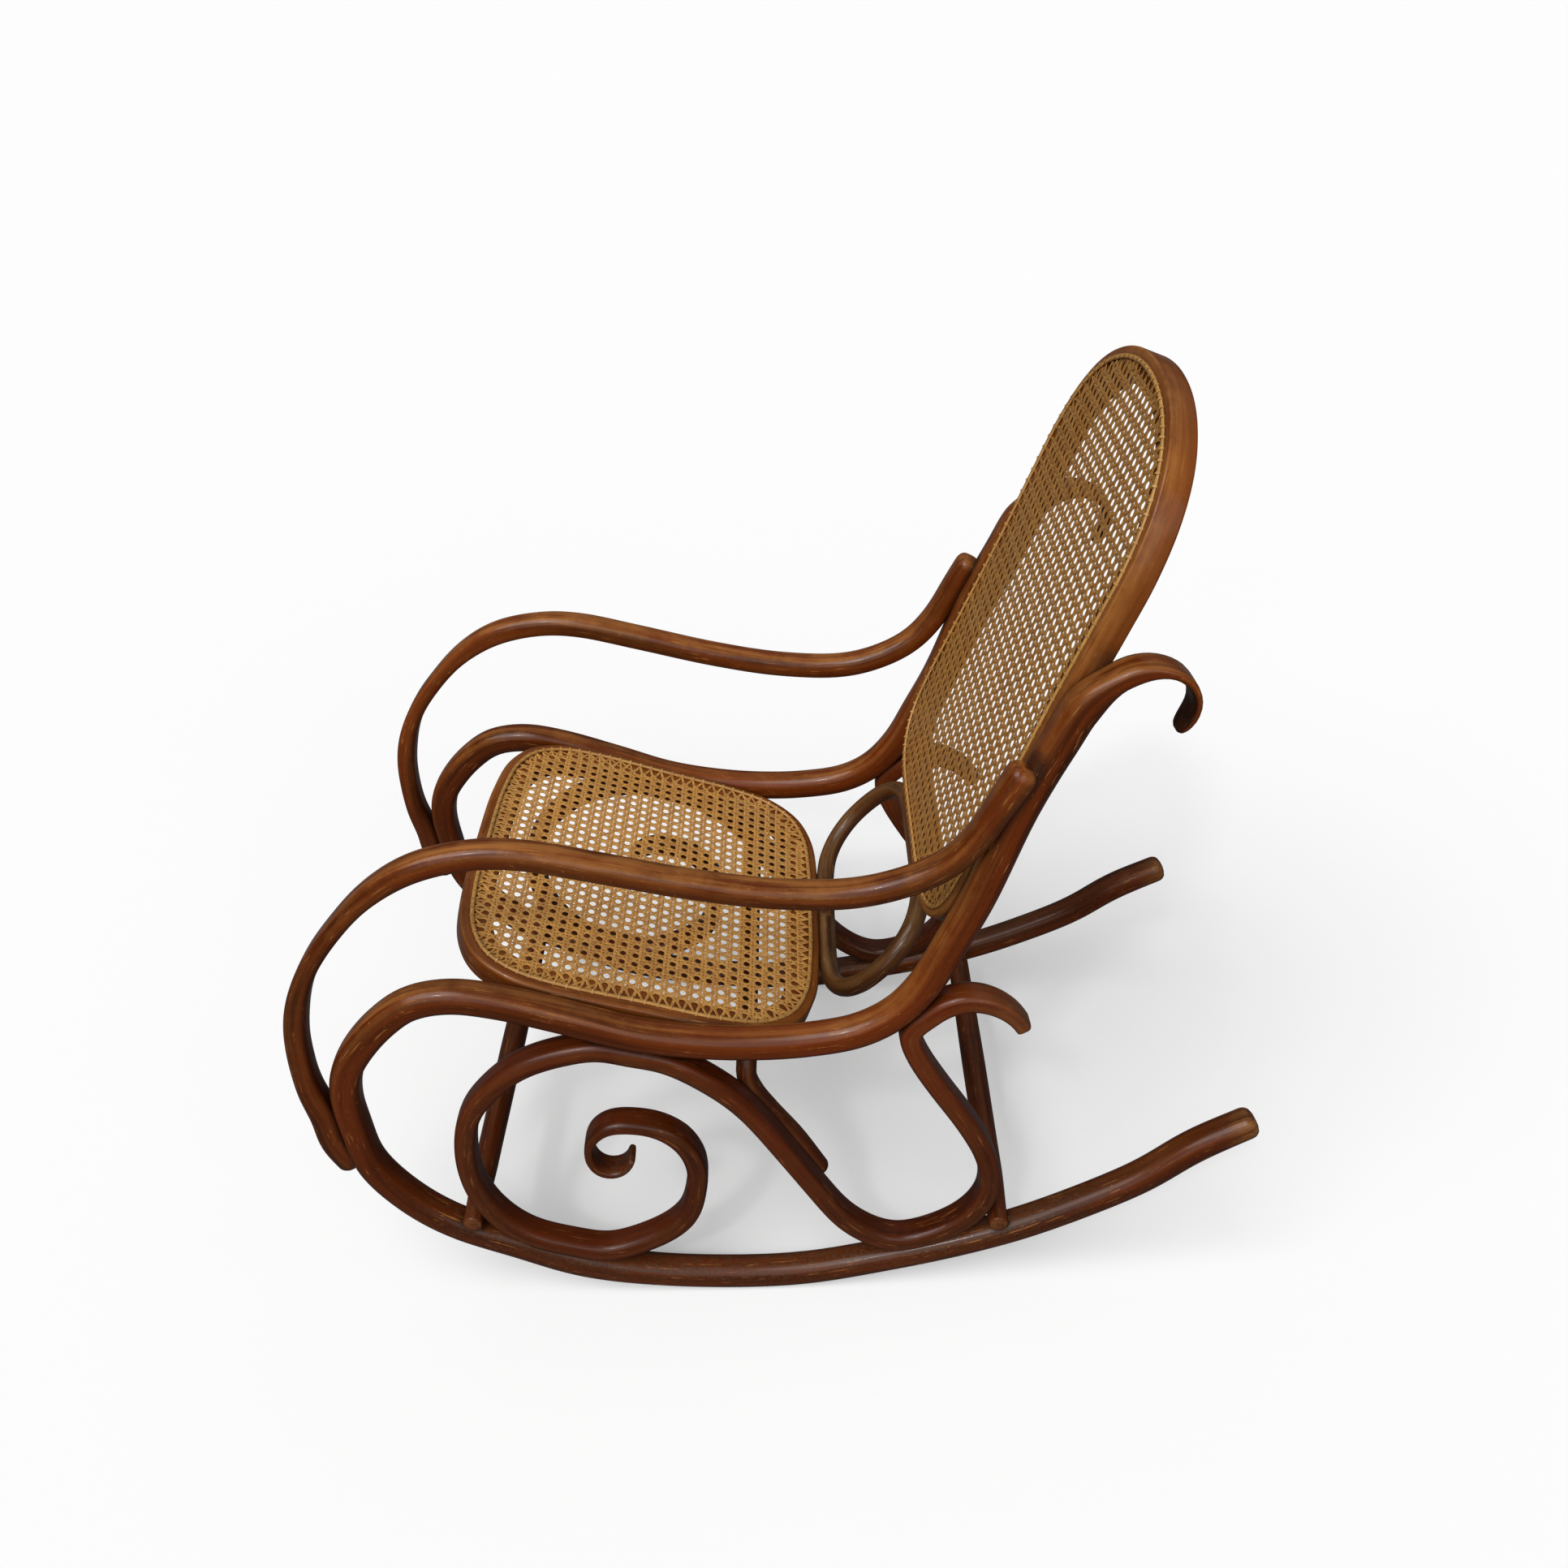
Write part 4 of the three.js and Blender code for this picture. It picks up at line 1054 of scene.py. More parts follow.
@dataclass
class SideRail(SideRod):
    """Runner, front curl, seat rail and post, bent from one rod."""

    word: ClassVar[str] = "rail"
    node: ClassVar[str] = "side_rail"
    spans: ClassVar[int] = 240

    curl_thickness: float = 28.5
    post_tip_thickness: float = 7.5
    post_tip_width: float = 36.0
    tip_round: float = 11.0
    post_tip_round: float = 13.0
    rear_tip_share: float = 0.93
    ease: Rows = ((0, 14.0), (0.1, 14.0), (0.16, 8.0), (0.9, 8.0), (1, 5.0))
    fullness: Rows = (
        (0, 2.8), (0.29, 2.8), (0.35, 4.0), (0.5, 4.0), (0.57, 2.8), (0.9, 2.8), (0.96, 5.0), (1, 4.0),
    )
    top_rub: float = 0.55
    front_rub: float = 0.3
    tip_rub: float = 0.9
    tip_scuff: float = 0.5
    floor_scuff: float = 0.8
    side_share: float = 0.25
    dust: float = 0.35
    # Painted shade on the inner face of the curl at the top of the post, which the light from above misses
    painted_curl_shade: float = 0.95
    seat_band: Band = (0.3, 0.42)
    floor_band: Band = (0.05, 0.004)
    tip_band: Band = (0.045, 0.004)
    dusty_band: Band = (0.2, 0.07)
    curl_rise_band: Band = (0.68, 0.72)
    curl_rear_band: Band = (0.31, 0.34)
    curl_facing_band: Band = (0.2, 0.7)

    def __post_init__(self) -> None:
        """Draws the outline that the other rods lean on."""
        self.outline = CentreLine([self.plane.place(shares) for shares in RAIL_SHARES])

    @property
    def sections(self) -> Rows:
        """Share of the length, thickness and width.

        Returns:
            Rows of share, thickness and width.
        """
        full = self.plane.rod_diameter
        curl, tip, wide = self.curl_thickness, self.post_tip_thickness, self.post_tip_width
        return (
            (0, full * self.rear_tip_share, full), (0.03, full, full),
            (0.34, full, full), (0.4, curl, full), (0.47, curl, full), (0.53, full, full),
            (0.93, full, full), (0.95, full * 0.58, full * 1.02),
            (0.972, tip * 1.15, wide), (0.99, tip, wide), (1, tip * 0.8, wide * 0.85),
        )

    def beside(self, point: Vector, thickness: float) -> Vector:
        """Moves a place near the rail until a rod of that thickness is scribed onto it.

        Args:
            point: A place near the rail.
            thickness: The other rod's thickness.

        Returns:
            The place moved.
        """
        share = self.outline.closest(point)
        on_rail = self.outline.at(share)
        normal = X_AXIS.cross(self.outline.tangent(share)).normalized()
        side = math.copysign(1.0, normal.dot(point - on_rail))
        rail, _ = row_at(self.sections, share)
        return on_rail + normal * side * ((rail + thickness) / 2 - self.plane.scribe_depth)

    def marks(self, place: Vector, normal: Vector, grain: Vector) -> Marks:
        """Rubbed on top, with painted shade inside its upper curl, grey on the floor and at its rear tip.

        Args:
            place: The place on the skin, in metres.
            normal: The unit direction out of the skin there.
            grain: Where along the rod and where in its section it lies, in metres.

        Returns:
            How rubbed, how darkened by painted shade, and how scuffed it is.
        """
        up, front = max(normal.z, 0.0), max(-normal.y, 0.0)
        tip = smoothstep(grain.x % TWIN_DISTANCE, *self.tip_band)
        # Painted shade inside the upper curl, on faces turned to the front
        inside = smoothstep(-normal.y, *self.curl_facing_band) * smoothstep(place.z, *self.curl_rise_band)
        inside *= smoothstep(place.y, *self.curl_rear_band)
        rub = self.top_rub * up * smoothstep(place.z, *self.seat_band) + self.front_rub * front * (1.0 - inside)
        floor = self.floor_scuff * smoothstep(place.z, *self.floor_band) * max(-normal.z, self.side_share)
        dusty = self.dust * (1.0 + up) * smoothstep(place.z, *self.dusty_band)
        return max(rub, self.tip_rub * tip), self.painted_curl_shade * inside, max(floor, self.tip_scuff * tip, dusty)

    def skin(self) -> Skin:
        """The left rail, cut flat where the runner has worn on the floor.

        Returns:
            The skin of the left rail.
        """
        skin = self.bent(self.outline, self.post_tip_round)
        bm = skin.bm
        everything = [*bm.verts, *bm.edges, *bm.faces]
        bmesh.ops.bisect_plane(
            bm, geom=everything, dist=0.0001, plane_co=(0, 0, 0), plane_no=Z_AXIS, clear_inner=True
        )
        bmesh.ops.holes_fill(bm, edges=[edge for edge in bm.edges if edge.is_boundary], sides=0)
        return skin


@dataclass
class ScrollRod(SideRod):
    """The rod below the seat: curl, loop on the runner, diagonal and rear curl."""

    word: ClassVar[str] = "scroll"
    node: ClassVar[str] = "scroll"
    spans: ClassVar[int] = 300

    rail: SideRail
    thickness: float = 23.0
    width: float = 31.0
    curl_thickness: float = 17.0
    tip_thickness: float = 10.0
    tip_round: float = 5.0
    press: float = 1.5
    fullness: Rows = ((0, 4.0), (1, 4.5))
    ease: Rows = (
        (0, 7.0), (0.1, 8.0), (0.17, 12.0), (0.22, 19.0), (0.25, 19.0), (0.3, 13.0), (0.45, 12.0),
        (0.52, 14.0), (0.66, 16.0), (0.72, 19.0), (0.76, 15.0), (0.86, 11.0), (0.93, 9.0), (1, 7.0),
    )
    sides: int = 32
    step: float = 5.0
    side_rub: float = 0.25
    tail_rub: float = 0.7
    tip_scuff: float = 0.6
    curl_band: Band = (0.09, 0.0)
    tail_band: Band = (1.77, 1.86)

    @property
    def sections(self) -> Rows:
        """Share of the length, thickness and width.

        Returns:
            Rows of share, thickness and width.
        """
        tip, full, wide = self.tip_thickness, self.thickness, self.width
        return (
            (0, tip * 0.8, wide * 0.92), (0.04, tip, wide), (0.075, self.curl_thickness, wide),
            (0.13, full, wide), (0.95, full, wide), (1, tip * 1.7, wide * 0.95),
        )

    def marks(self, place: Vector, normal: Vector, grain: Vector) -> Marks:
        """Rubbed on the outer side, grey at its tips.

        Args:
            place: The place on the skin, in metres.
            normal: The unit direction out of the skin there.
            grain: Where along the rod and where in its section it lies, in metres.

        Returns:
            How rubbed, how darkened by painted shade, and how scuffed it is.
        """
        reach = grain.x % TWIN_DISTANCE
        tail = smoothstep(reach, *self.tail_band)
        tips = smoothstep(reach, *self.curl_band) + tail
        return max(self.side_rub * abs(normal.x), self.tail_rub * tail), 0.0, self.tip_scuff * tips

    def skin(self) -> Skin:
        """The left scroll, pressed onto the rail where its runs touch it.

        Returns:
            The skin of the left scroll.
        """
        points = []
        for touches, run in SCROLL_RUNS:
            for point in map(self.plane.place, run):
                points.append(self.rail.beside(point, self.thickness - 2 * self.press) if touches else point)
        return self.bent(CentreLine(points), self.tip_round, self.sides, self.step)


@dataclass
class ArmRod(SideRod):
    """The arm, from the front curl up and back to the post."""

    word: ClassVar[str] = "arm"
    node: ClassVar[str] = "arm"
    spans: ClassVar[int] = 200

    rail: SideRail
    thickness: float = 26.0
    width: float = 29.0
    foot_thickness: float = 28.0
    foot_let_in: float = 24.0
    front_thickness: float = 22.4
    bend_thickness: float = 18.5
    tip_round: float = 12.0
    ease: Rows = ((0, 9.0), (1, 9.0))
    fullness: Rows = ((0, 4.0), (0.33, 4.0), (0.45, 3.0), (1, 3.0))
    rear_shift: float = 10.0
    rear_shift_band: Band = (0.8, 0.97)
    rear_swell: float = 1.12
    lower_count: int = 3
    top_rub: float = 0.8
    side_rub: float = 0.15
    top_band: Band = (0.42, 0.55)

    @property
    def sections(self) -> Rows:
        """Share of the length, thickness and width.

        Returns:
            Rows of share, thickness and width.
        """
        foot, front, bend, full, wide = (
            self.foot_thickness, self.front_thickness, self.bend_thickness, self.thickness, self.width
        )
        return (
            (0, foot, wide), (0.05, foot, wide), (0.13, front, wide), (0.19, front, wide),
            (0.26, bend, wide), (0.31, bend, wide), (0.43, full, wide), (0.94, full, wide),
            (1, full * self.rear_swell, wide * self.rear_swell),
        )

    def marks(self, place: Vector, normal: Vector, grain: Vector) -> Marks:
        """Rubbed bright on top, where hands and sleeves lie."""
        top = max(normal.z, 0.0) * smoothstep(place.z, *self.top_band)
        return self.top_rub * top + self.side_rub * abs(normal.x), 0.0, 0.0

    def skin(self) -> Skin:
        """The left arm, whose foot is let into the rail and whose rear end leans outwards.

        Returns:
            The skin of the left arm.
        """
        points = [self.plane.place(shares) for shares in ARM_SHARES]
        for index in range(self.lower_count):
            let_in = self.foot_let_in if index == 0 else 0.0
            points[index] = self.rail.beside(points[index], self.foot_thickness - let_in)
        return self.bent(CentreLine(points), self.tip_round)

    def shift(self, share: float) -> float:
        """Outwards towards the post."""
        return self.rear_shift * smoothstep(share, *self.rear_shift_band)


@dataclass
class Stretcher:
    """A turned rod from runner to runner, thinner at its ends."""

    name: str
    shares: Sequence[float]
    overhang: float
    rail: SideRail
    end_depth: float = 1.5
    diameter: float = 22.0
    belly_diameter: float = 29.0
    end_round: float = 2.5
    tip_share: float = 0.8
    shoulder_share: float = 0.16
    shoulder_taper: float = 0.25
    forward: float = 2.0

    def build(self, workshop: Workshop, material: Material) -> None:
        """Makes the stretcher, seated on the rails.

        Args:
            workshop: The chair's workshop, which the pieces go to.
            material: The finish of the wood.
        """
        plane = self.rail.plane
        seated = self.rail.beside(plane.place(self.shares), self.diameter)
        centre = seated - Vector((0.0, self.forward, self.end_depth))
        reach = plane.side_x(centre) + self.overhang
        line = CentreLine([centre + X_AXIS * x for x in (-reach, -reach / 2, 0, reach / 2, reach)])
        end, belly = self.diameter, self.belly_diameter
        near = lerp(belly, end, self.shoulder_taper)
        share = self.shoulder_share
        sizes = ((0, end), (share, near), (0.5, belly), (1 - share, near), (1, end))
        sections = [(share, size, size) for share, size in sizes]
        rounds = self.end_round, self.end_round
        skin = BentRod(line, sections, Z_AXIS, *rounds, tip_share=self.tip_share).skin()
        label = Label(f"{self.name}_rod", self.name, material)
        workshop.add_wood(skin, label, plain_marks, self.diameter / 2)


@dataclass
class PanelPlane:
    """The plane of a caned frame: across, along and down from its face."""

    start: Vector
    run: Vector
    face: Vector
    length: float

    @classmethod
    def between(cls, plane: SidePlane, ends: Rows) -> "PanelPlane":
        """The plane of a frame's face, running to the rear or up between two ends given as shares."""
        start, end = (Vector((0.0, y * plane.chair_length, z * plane.chair_height)) for y, z in ends)
        run = end - start
        return cls(start, run.normalized(), X_AXIS.cross(run).normalized(), run.length)

    def at(self, across: float, along: float, depth: float) -> Vector:
        """A place of the plane, below its face by depth."""
        point = self.start + self.run * along - self.face * depth
        point.x = across
        return point


@dataclass
class PanelFrame:
    """A bent frame that holds cane, swept round its outline."""

    name: str
    panel: PanelPlane
    shares: Rows
    plane: SidePlane
    depth: float
    width: float
    held_share: float = 0.53
    rim_reveal: float = 9.0
    binder_width: float = 5.0
    clearance: float = 0.3
    cane_thickness: float = 1.6
    edge_round: float = 4.5
    inner_round: float = 2.5
    round_spans: int = 4
    wall_inset: float = 0.0
    edge_rub: float = 0.35
    face_rub: float = 0.2
    steps: int = 240
    spine_steps: int = 120
    outer_band: Band = (0.006, 0.002)
    top_band: Band = (0.006, 0.001)

    def __post_init__(self) -> None:
        """Draws the outline in the frame's own plane."""
        half = []
        for across_share, along_share in self.shares:
            held = min(along_share, self.held_share) * self.panel.length
            half.append(Vector((across_share * self.half_room(held), along_share * self.panel.length, 0.0)))
        self.outline = CentreLine([Vector(), *half, Y_AXIS * self.panel.length, *mirrored(half)], closed=True)

    def half_room(self, along: float) -> float:
        """Room for the frame between the side frames, to one side."""
        point = self.panel.at(0.0, along, self.depth / 2)
        return self.plane.side_x(point) - self.plane.rod_diameter / 2 + self.plane.scribe_depth

    def edge(self, share: float, inset: float) -> Vector:
        """A place of the outline moved inwards, in the frame's own plane."""
        tangent = self.outline.tangent(share)
        return self.outline.at(share) + Vector((-tangent.y, tangent.x, 0.0)) * inset

    def turned(self, share: float) -> Matrix:
        """The station whose x goes inwards and whose y goes down from the face.

        Args:
            share: The share of the way round the outline.

        Returns:
            The matrix of the station.
        """
        point, tangent = self.outline.at(share), self.outline.tangent(share)
        inward = self.panel.run * tangent.x
        inward.x = -tangent.y
        return station(self.panel.at(point.x, point.y, 0.0), inward.normalized(), -self.panel.face, 1.0, 1.0)

    def ring(self, section: Rows) -> Skin:
        """Sweeps a section, whose corners are inset and depth, round the outline.

        Args:
            section: The section's corners.

        Returns:
            The closed skin.
        """
        skin = Skin(section=section)
        for share in steps_of(self.steps):
            skin.add(self.turned(share), share * self.outline.length)
        skin.close_ring()
        return skin

    def section(self) -> list[tuple[float, float]]:
        """Corners of the frame: outer wall, face, rebate under the cane, inner wall, underside.

        Returns:
            Pairs of inset and depth, in millimetres.
        """
        rebate = self.rim_reveal + self.binder_width - self.clearance
        low = self.cane_thickness + self.clearance
        outer, inner = self.wall_inset + self.edge_round, self.width - self.inner_round
        corners = self.quarter(outer, self.edge_round, self.edge_round, 2)
        corners += [(rebate, 0.0), (rebate, low)]
        corners += self.quarter(inner, low + self.inner_round, self.inner_round, 3)
        corners += self.quarter(inner, self.depth - self.inner_round, self.inner_round, 4)
        corners += self.quarter(outer, self.depth - self.edge_round, self.edge_round, 5)
        return corners

    def quarter(self, x: float, y: float, radius: float, start: int) -> list[tuple[float, float]]:
        """Points of a quarter turn round a centre, from so many quarters on."""
        turns = [(start + share) * math.pi / 2 for share in steps_of(self.round_spans)]
        return [(x + radius * math.cos(turn), y + radius * math.sin(turn)) for turn in turns]

    def marks(self, place: Vector, normal: Vector, grain: Vector) -> Marks:
        """Rubbed on the face, most round its outer edge."""
        top = smoothstep(grain.z, *self.top_band)
        return (self.edge_rub * smoothstep(grain.y, *self.outer_band) + self.face_rub) * top, 0.0, 0.0

    def build(self, workshop: Workshop, material: Material) -> None:
        """Makes the frame.

        Args:
            workshop: The chair's workshop, which the pieces go to.
            material: The finish of the wood.
        """
        skin = self.ring(self.section())
        middle = [self.edge(share, self.width / 2) for share in steps_of(self.spine_steps)[:-1]]
        skin.spine = [self.panel.at(point.x, point.y, self.depth / 2) for point in middle]
        label = Label(f"{self.name}_rim", self.name, material, sharp=40.0)
        workshop.add_wood(skin, label, self.marks, self.depth / 2)


@dataclass
class Caning:
    """Six-way hand weave in a frame: two pairs of settings and two diagonals.

    The section's width and height are those of the three-sided strand before it gets its size.
    """

    name: str
    rim: PanelFrame
    pitch: float = 13.6
    strand_width: float = 2.8
    diagonal_width: float = 3.0
    strand_thickness: float = 0.7
    section_width: float = 1.75
    section_height: float = 1.5
    pair_offset: float = 2.1
    setting_lift: float = 0.4
    diagonal_lift: float = 0.65
    diagonal_lead: float = 0.25
    steps_per_pitch: int = 6
    hole_inset: float = 12.5
    fan_inset: float = 23.5
    tuck: float = 2.0
    looseness: float = 0.22
    cane_length: float = 4000.0
    bound_steps: int = 160
    seed: int = 4

    def __post_init__(self) -> None:
        """Draws the holes that the strands end in and the line where they fan out towards them."""
        length = self.rim.outline.length
        count = round(length / self.pitch)
        self.hole_shares = [(index + 0.5) / count for index in range(count)]
        self.holes = [self.rim.edge(share, self.hole_inset) for share in self.hole_shares]
        self.bound = [self.rim.edge(share, self.fan_inset) for share in steps_of(self.bound_steps)[:-1]]
        self.middle = Y_AXIS * (self.rim.panel.length / 2)
        reach = math.ceil(length / 2 / self.pitch)
        self.rows = range(-reach, reach + 1)
        self.random = random.Random(self.seed)

    def chord(self, origin: Vector, direction: Vector) -> Optional[tuple[float, float]]:
        """Where a straight strand enters and leaves the weave.

        Args:
            origin: A place on the strand's line.
            direction: The line's unit direction.

        Returns:
            The two distances from the origin, or None where the line misses the weave.
        """
        across = Vector((-direction.y, direction.x, 0.0))
        hits = []
        for index, end in enumerate(self.bound):
            start = self.bound[index - 1]
            before, after = (start - origin).dot(across), (end - origin).dot(across)
            if (before > 0) != (after > 0):
                hits.append((start.lerp(end, before / (before - after)) - origin).dot(direction))
        return (min(hits), max(hits)) if len(hits) > 1 else None

    def hole_beyond(self, end: Vector, outwards: Vector) -> Vector:
        """The hole that a strand bends towards from where its straight part ends."""
        natural = end + outwards * (self.fan_inset - self.hole_inset)
        return min(self.holes, key=lambda hole: (hole - natural).length_squared)

    def strand(
        self, origin: Vector, direction: Vector, axis: Vector, width: float, lift: float, lead: float = 0.0
    ) -> Optional[Skin]:
        """Draws one strand over and under its neighbours.

        Args:
            origin: A place on the strand's line.
            direction: The line's unit direction.
            axis: Unit direction in which the waves of the weave are one pitch long.
            width: Width of the strand.
            lift: How high it rises over its neighbours, less than 0 to begin under them.
            lead: Share of a wave that it is ahead.

        Returns:
            The strand, or None where its line misses the weave.
        """
        ends = self.chord(origin, direction)
        if ends is None or ends[1] - ends[0] < self.pitch:
            return None
        across = Vector((direction.y, -direction.x, 0.0))
        near = self.hole_beyond(origin + direction * ends[0], -direction) - origin
        far = self.hole_beyond(origin + direction * ends[1], direction) - origin
        first = min(near.dot(direction), ends[0] - self.tuck)
        last = max(far.dot(direction), ends[1] + self.tuck)
        slopes = near.dot(across) / (ends[0] - first), far.dot(across) / (last - ends[1])
        panel = self.rim.panel
        centre = origin + direction * ((first + last) / 2)
        along = panel.run * direction.y
        along.x = direction.x
        level = panel.at(centre.x, centre.y, self.rim.cane_thickness / 2)
        place = station(level, along.cross(panel.face), panel.face, 1.0, 1.0)
        skin = Skin()
        bmesh.ops.create_cone(skin.bm, cap_ends=True, segments=3, radius1=1.0, radius2=1.0, depth=last - first)
        wide, thick = width / self.section_width, self.strand_thickness / self.section_height
        size = Matrix.Diagonal((wide, thick, 1.0, 1.0))
        bmesh.ops.transform(skin.bm, matrix=size, verts=skin.bm.verts)
        sides = [edge for edge in skin.bm.edges if edge.verts[0].co.z * edge.verts[1].co.z < 0.0]
        step = self.pitch / self.steps_per_pitch / direction.dot(axis)
        bmesh.ops.subdivide_edges(skin.bm, edges=sides, cuts=max(round((last - first) / step), 2) - 1)
        drift = self.random.uniform(0.0, self.cane_length)
        sway = self.random.uniform(-self.looseness, self.looseness)
        forward = place.col[2].to_3d().dot(along)
        for vert in skin.bm.verts:
            reach = vert.co.z * forward
            vert[skin.grain] = Vector((reach + drift, vert.co.x, vert.co.y)) * MM
            waves = (centre + direction * reach - self.middle).dot(axis) / self.pitch
            vert.co.y += lift * math.sin(math.tau * (waves + lead))
            reach += (first + last) / 2
            fan = max(ends[0] - reach, 0.0) * slopes[0] + max(reach - ends[1], 0.0) * slopes[1]
            vert.co.x += fan + sway
        bmesh.ops.transform(skin.bm, matrix=place, verts=skin.bm.verts)
        return skin

    def settings(self) -> list[Optional[Skin]]:
        """The strands that run straight along and straight across, in woven pairs.

        Returns:
            The strands, with None where one would be too short.
        """
        made = []
        for direction, across, sign in ((Y_AXIS, X_AXIS, -1), (X_AXIS, Y_AXIS, 1)):
            for row in self.rows:
                for turn in (-1, 1):
                    origin = self.middle + across * (row * self.pitch + turn * self.pair_offset)
                    lift = sign * turn * self.setting_lift
                    made.append(self.strand(origin, direction, direction, self.strand_width, lift))
        return made

    def diagonals(self) -> list[Optional[Skin]]:
        """The strands of both diagonals, which cut the corners of the holes.

        Returns:
            The strands, with None where one would be too short.
        """
        made = []
        for turn in (-1, 1):
            direction, lift = Vector((1, turn, 0)).normalized(), -turn * self.diagonal_lift
            for row in self.rows:
                origin = self.middle + X_AXIS * ((row + 0.5) * self.pitch)
                wave = lift, self.diagonal_lead
                made.append(self.strand(origin, direction, X_AXIS, self.diagonal_width, *wave))
        return made

    def gather(self, skins: Sequence[Optional[Skin]]) -> bmesh.types.BMesh:
        """Joins strands, some of them missing, into one mesh, each with a tone of its own.

        Args:
            skins: The strands, which are used up.

        Returns:
            The joined mesh.
        """
        whole = bmesh.new()
        scratch = bpy.data.meshes.new("strand")
        for skin in filter(None, skins):
            tone = self.random.uniform(0.0, 1.0)
            marks = skin.bm.verts.layers.float_vector.new("marks")
            for vert in skin.bm.verts:
                vert[marks] = (tone, 0.0, 0.0)
            skin.bm.to_mesh(scratch)
            whole.from_mesh(scratch)
            skin.bm.free()
        bpy.data.meshes.remove(scratch)
        return whole

    def build(self, workshop: Workshop, material: Material) -> None:
        """Makes the settings and the diagonals as two pieces."""
        node = f"{self.name}_cane"
        for word, skins in (("settings", self.settings()), ("diagonals", self.diagonals())):
            workshop.finish(self.gather(skins), Label(f"{node}_{word}", node, material, Slot.CANE, 80.0))


@dataclass
class Binder:
    """The strip over the line of holes, tied down at every hole."""

    caning: Caning
    thickness: float = 1.8
    narrowing: float = 1.2
    overlap: float = 0.4
    shoulder_drop: float = 0.35
    shoulder_share: float = 0.15
    tie_width: float = 2.6
    tie_thickness: float = 0.7
    tie_lift: float = 1.1
    tie_overhang: float = 0.6
    tie_steepness: float = 1.6
    tie_steps: int = 6
    tie_sides: int = 6
    tie_spacing: float = 37.0

    def strip(self, start: float, width: float) -> Skin:
        """The strip itself, from its outer edge's inset inwards.

        Args:
            start: How far inside the outline its outer edge lies.
            width: Its width.

        Returns:
            The closed skin.
        """
        rim = self.caning.rim
        low, top = -rim.clearance, -rim.clearance - self.thickness
        edge, drop = self.shoulder_share, self.shoulder_drop
        shoulders = ((edge, drop), (0.5, 0.0), (1 - edge, drop))
        crown = [(start + width * share, top + drop) for share, drop in shoulders]
        middle = (low + top) / 2
        return rim.ring([(start, low), (start, middle), *crown, (start + width, middle), (start + width, low)])

    def tie(self, index: int, share: float, start: float, width: float) -> Skin:
        """A short tie, counted by its index, over the strip at a share of the way round.

        Args:
            index: The tie's number.
            share: Where it stands on the way round.
            start: How far inside the outline the strip's outer edge lies.
            width: The strip's width.

        Returns:
            The closed skin.
        """
        rim = self.caning.rim
        matrix = rim.turned(share)
        inward, down, along = (matrix.col[axis].to_3d() for axis in range(3))
        skin = Skin(self.tie_sides)
        for part in steps_of(self.tie_steps):
            rise = min(math.sin(math.pi * part) * self.tie_steepness, 1.0)
            reach = start - self.tie_overhang + (width + 2 * self.tie_overhang) * part
            depth = -rim.clearance - (self.thickness + self.tie_lift) * rise
            centre = matrix.to_translation() + inward * reach + down * depth
            place = station(centre, along, down, self.tie_width / 2, self.tie_thickness / 2)
            skin.add(place, reach + index * self.tie_spacing)
        skin.close_ends()
        return skin

    def build(self, workshop: Workshop, material: Material) -> None:
        """Makes the strip with its ties.

        Args:
            workshop: The chair's workshop, which the pieces go to.
            material: The finish of the cane.
        """
        rim, name = self.caning.rim, f"{self.caning.name}_binder"
        span = rim.rim_reveal + self.narrowing, rim.binder_width - self.narrowing + self.overlap
        ties = [self.tie(index, share, *span) for index, share in enumerate(self.caning.hole_shares)]
        bm = self.caning.gather([self.strip(*span), *ties])
        workshop.finish(bm, Label(f"{name}_strip", name, material, Slot.BINDER))


@dataclass
class SeatBow:
    """The bow under the seat, from one scroll up under the frame and down to the other."""

    seat: PanelFrame
    scroll_width: float = 31.0
    diameter: float = 22.0
    tip_round: float = 8.0
    bend_radius: float = 32.0
    bend_spans: int = 3
    crown_share: float = 0.817
    corner_reach: float = 1.0534

    def line(self) -> CentreLine:
        """The rod's centre line over both legs.

        Returns:
            The line, in millimetres.
        """
        plane, panel = self.seat.plane, self.seat.panel
        spread = (self.scroll_width + self.diameter) / 2 - plane.scribe_depth
        depth = self.seat.depth + self.seat.clearance + self.diameter / 2 * self.corner_reach
        crown = panel.at(0.0, panel.length * self.crown_share, depth)
        turn_x = plane.side_x(crown) - spread - self.bend_radius
        half = []
        for shares in BOW_LEG_SHARES:
            point = plane.place(shares)
            point.x = plane.side_x(point) - spread
            half.append(point)
        for angle in (share * math.pi / 2 for share in steps_of(self.bend_spans)):
            x, z = turn_x, crown.z - self.bend_radius
            x, z = x + self.bend_radius * math.cos(angle), z + self.bend_radius * math.sin(angle)
            half.append(Vector((x, crown.y, z)))
        half.append(Vector((turn_x / 2, crown.y, crown.z)))
        return CentreLine([*half, *mirrored(half)])

    def build(self, workshop: Workshop, material: Material) -> None:
        """Makes the bow.

        Args:
            workshop: The chair's workshop, which the pieces go to.
            material: The finish of the wood.
        """
        sections = ((0, self.diameter, self.diameter), (1, self.diameter, self.diameter))
        skin = BentRod(self.line(), sections, self.seat.plane.normal, self.tip_round, self.tip_round).skin()
        label = Label("seat_bow_rod", "seat_bow", material)
        workshop.add_wood(skin, label, plain_marks, self.diameter / 2)


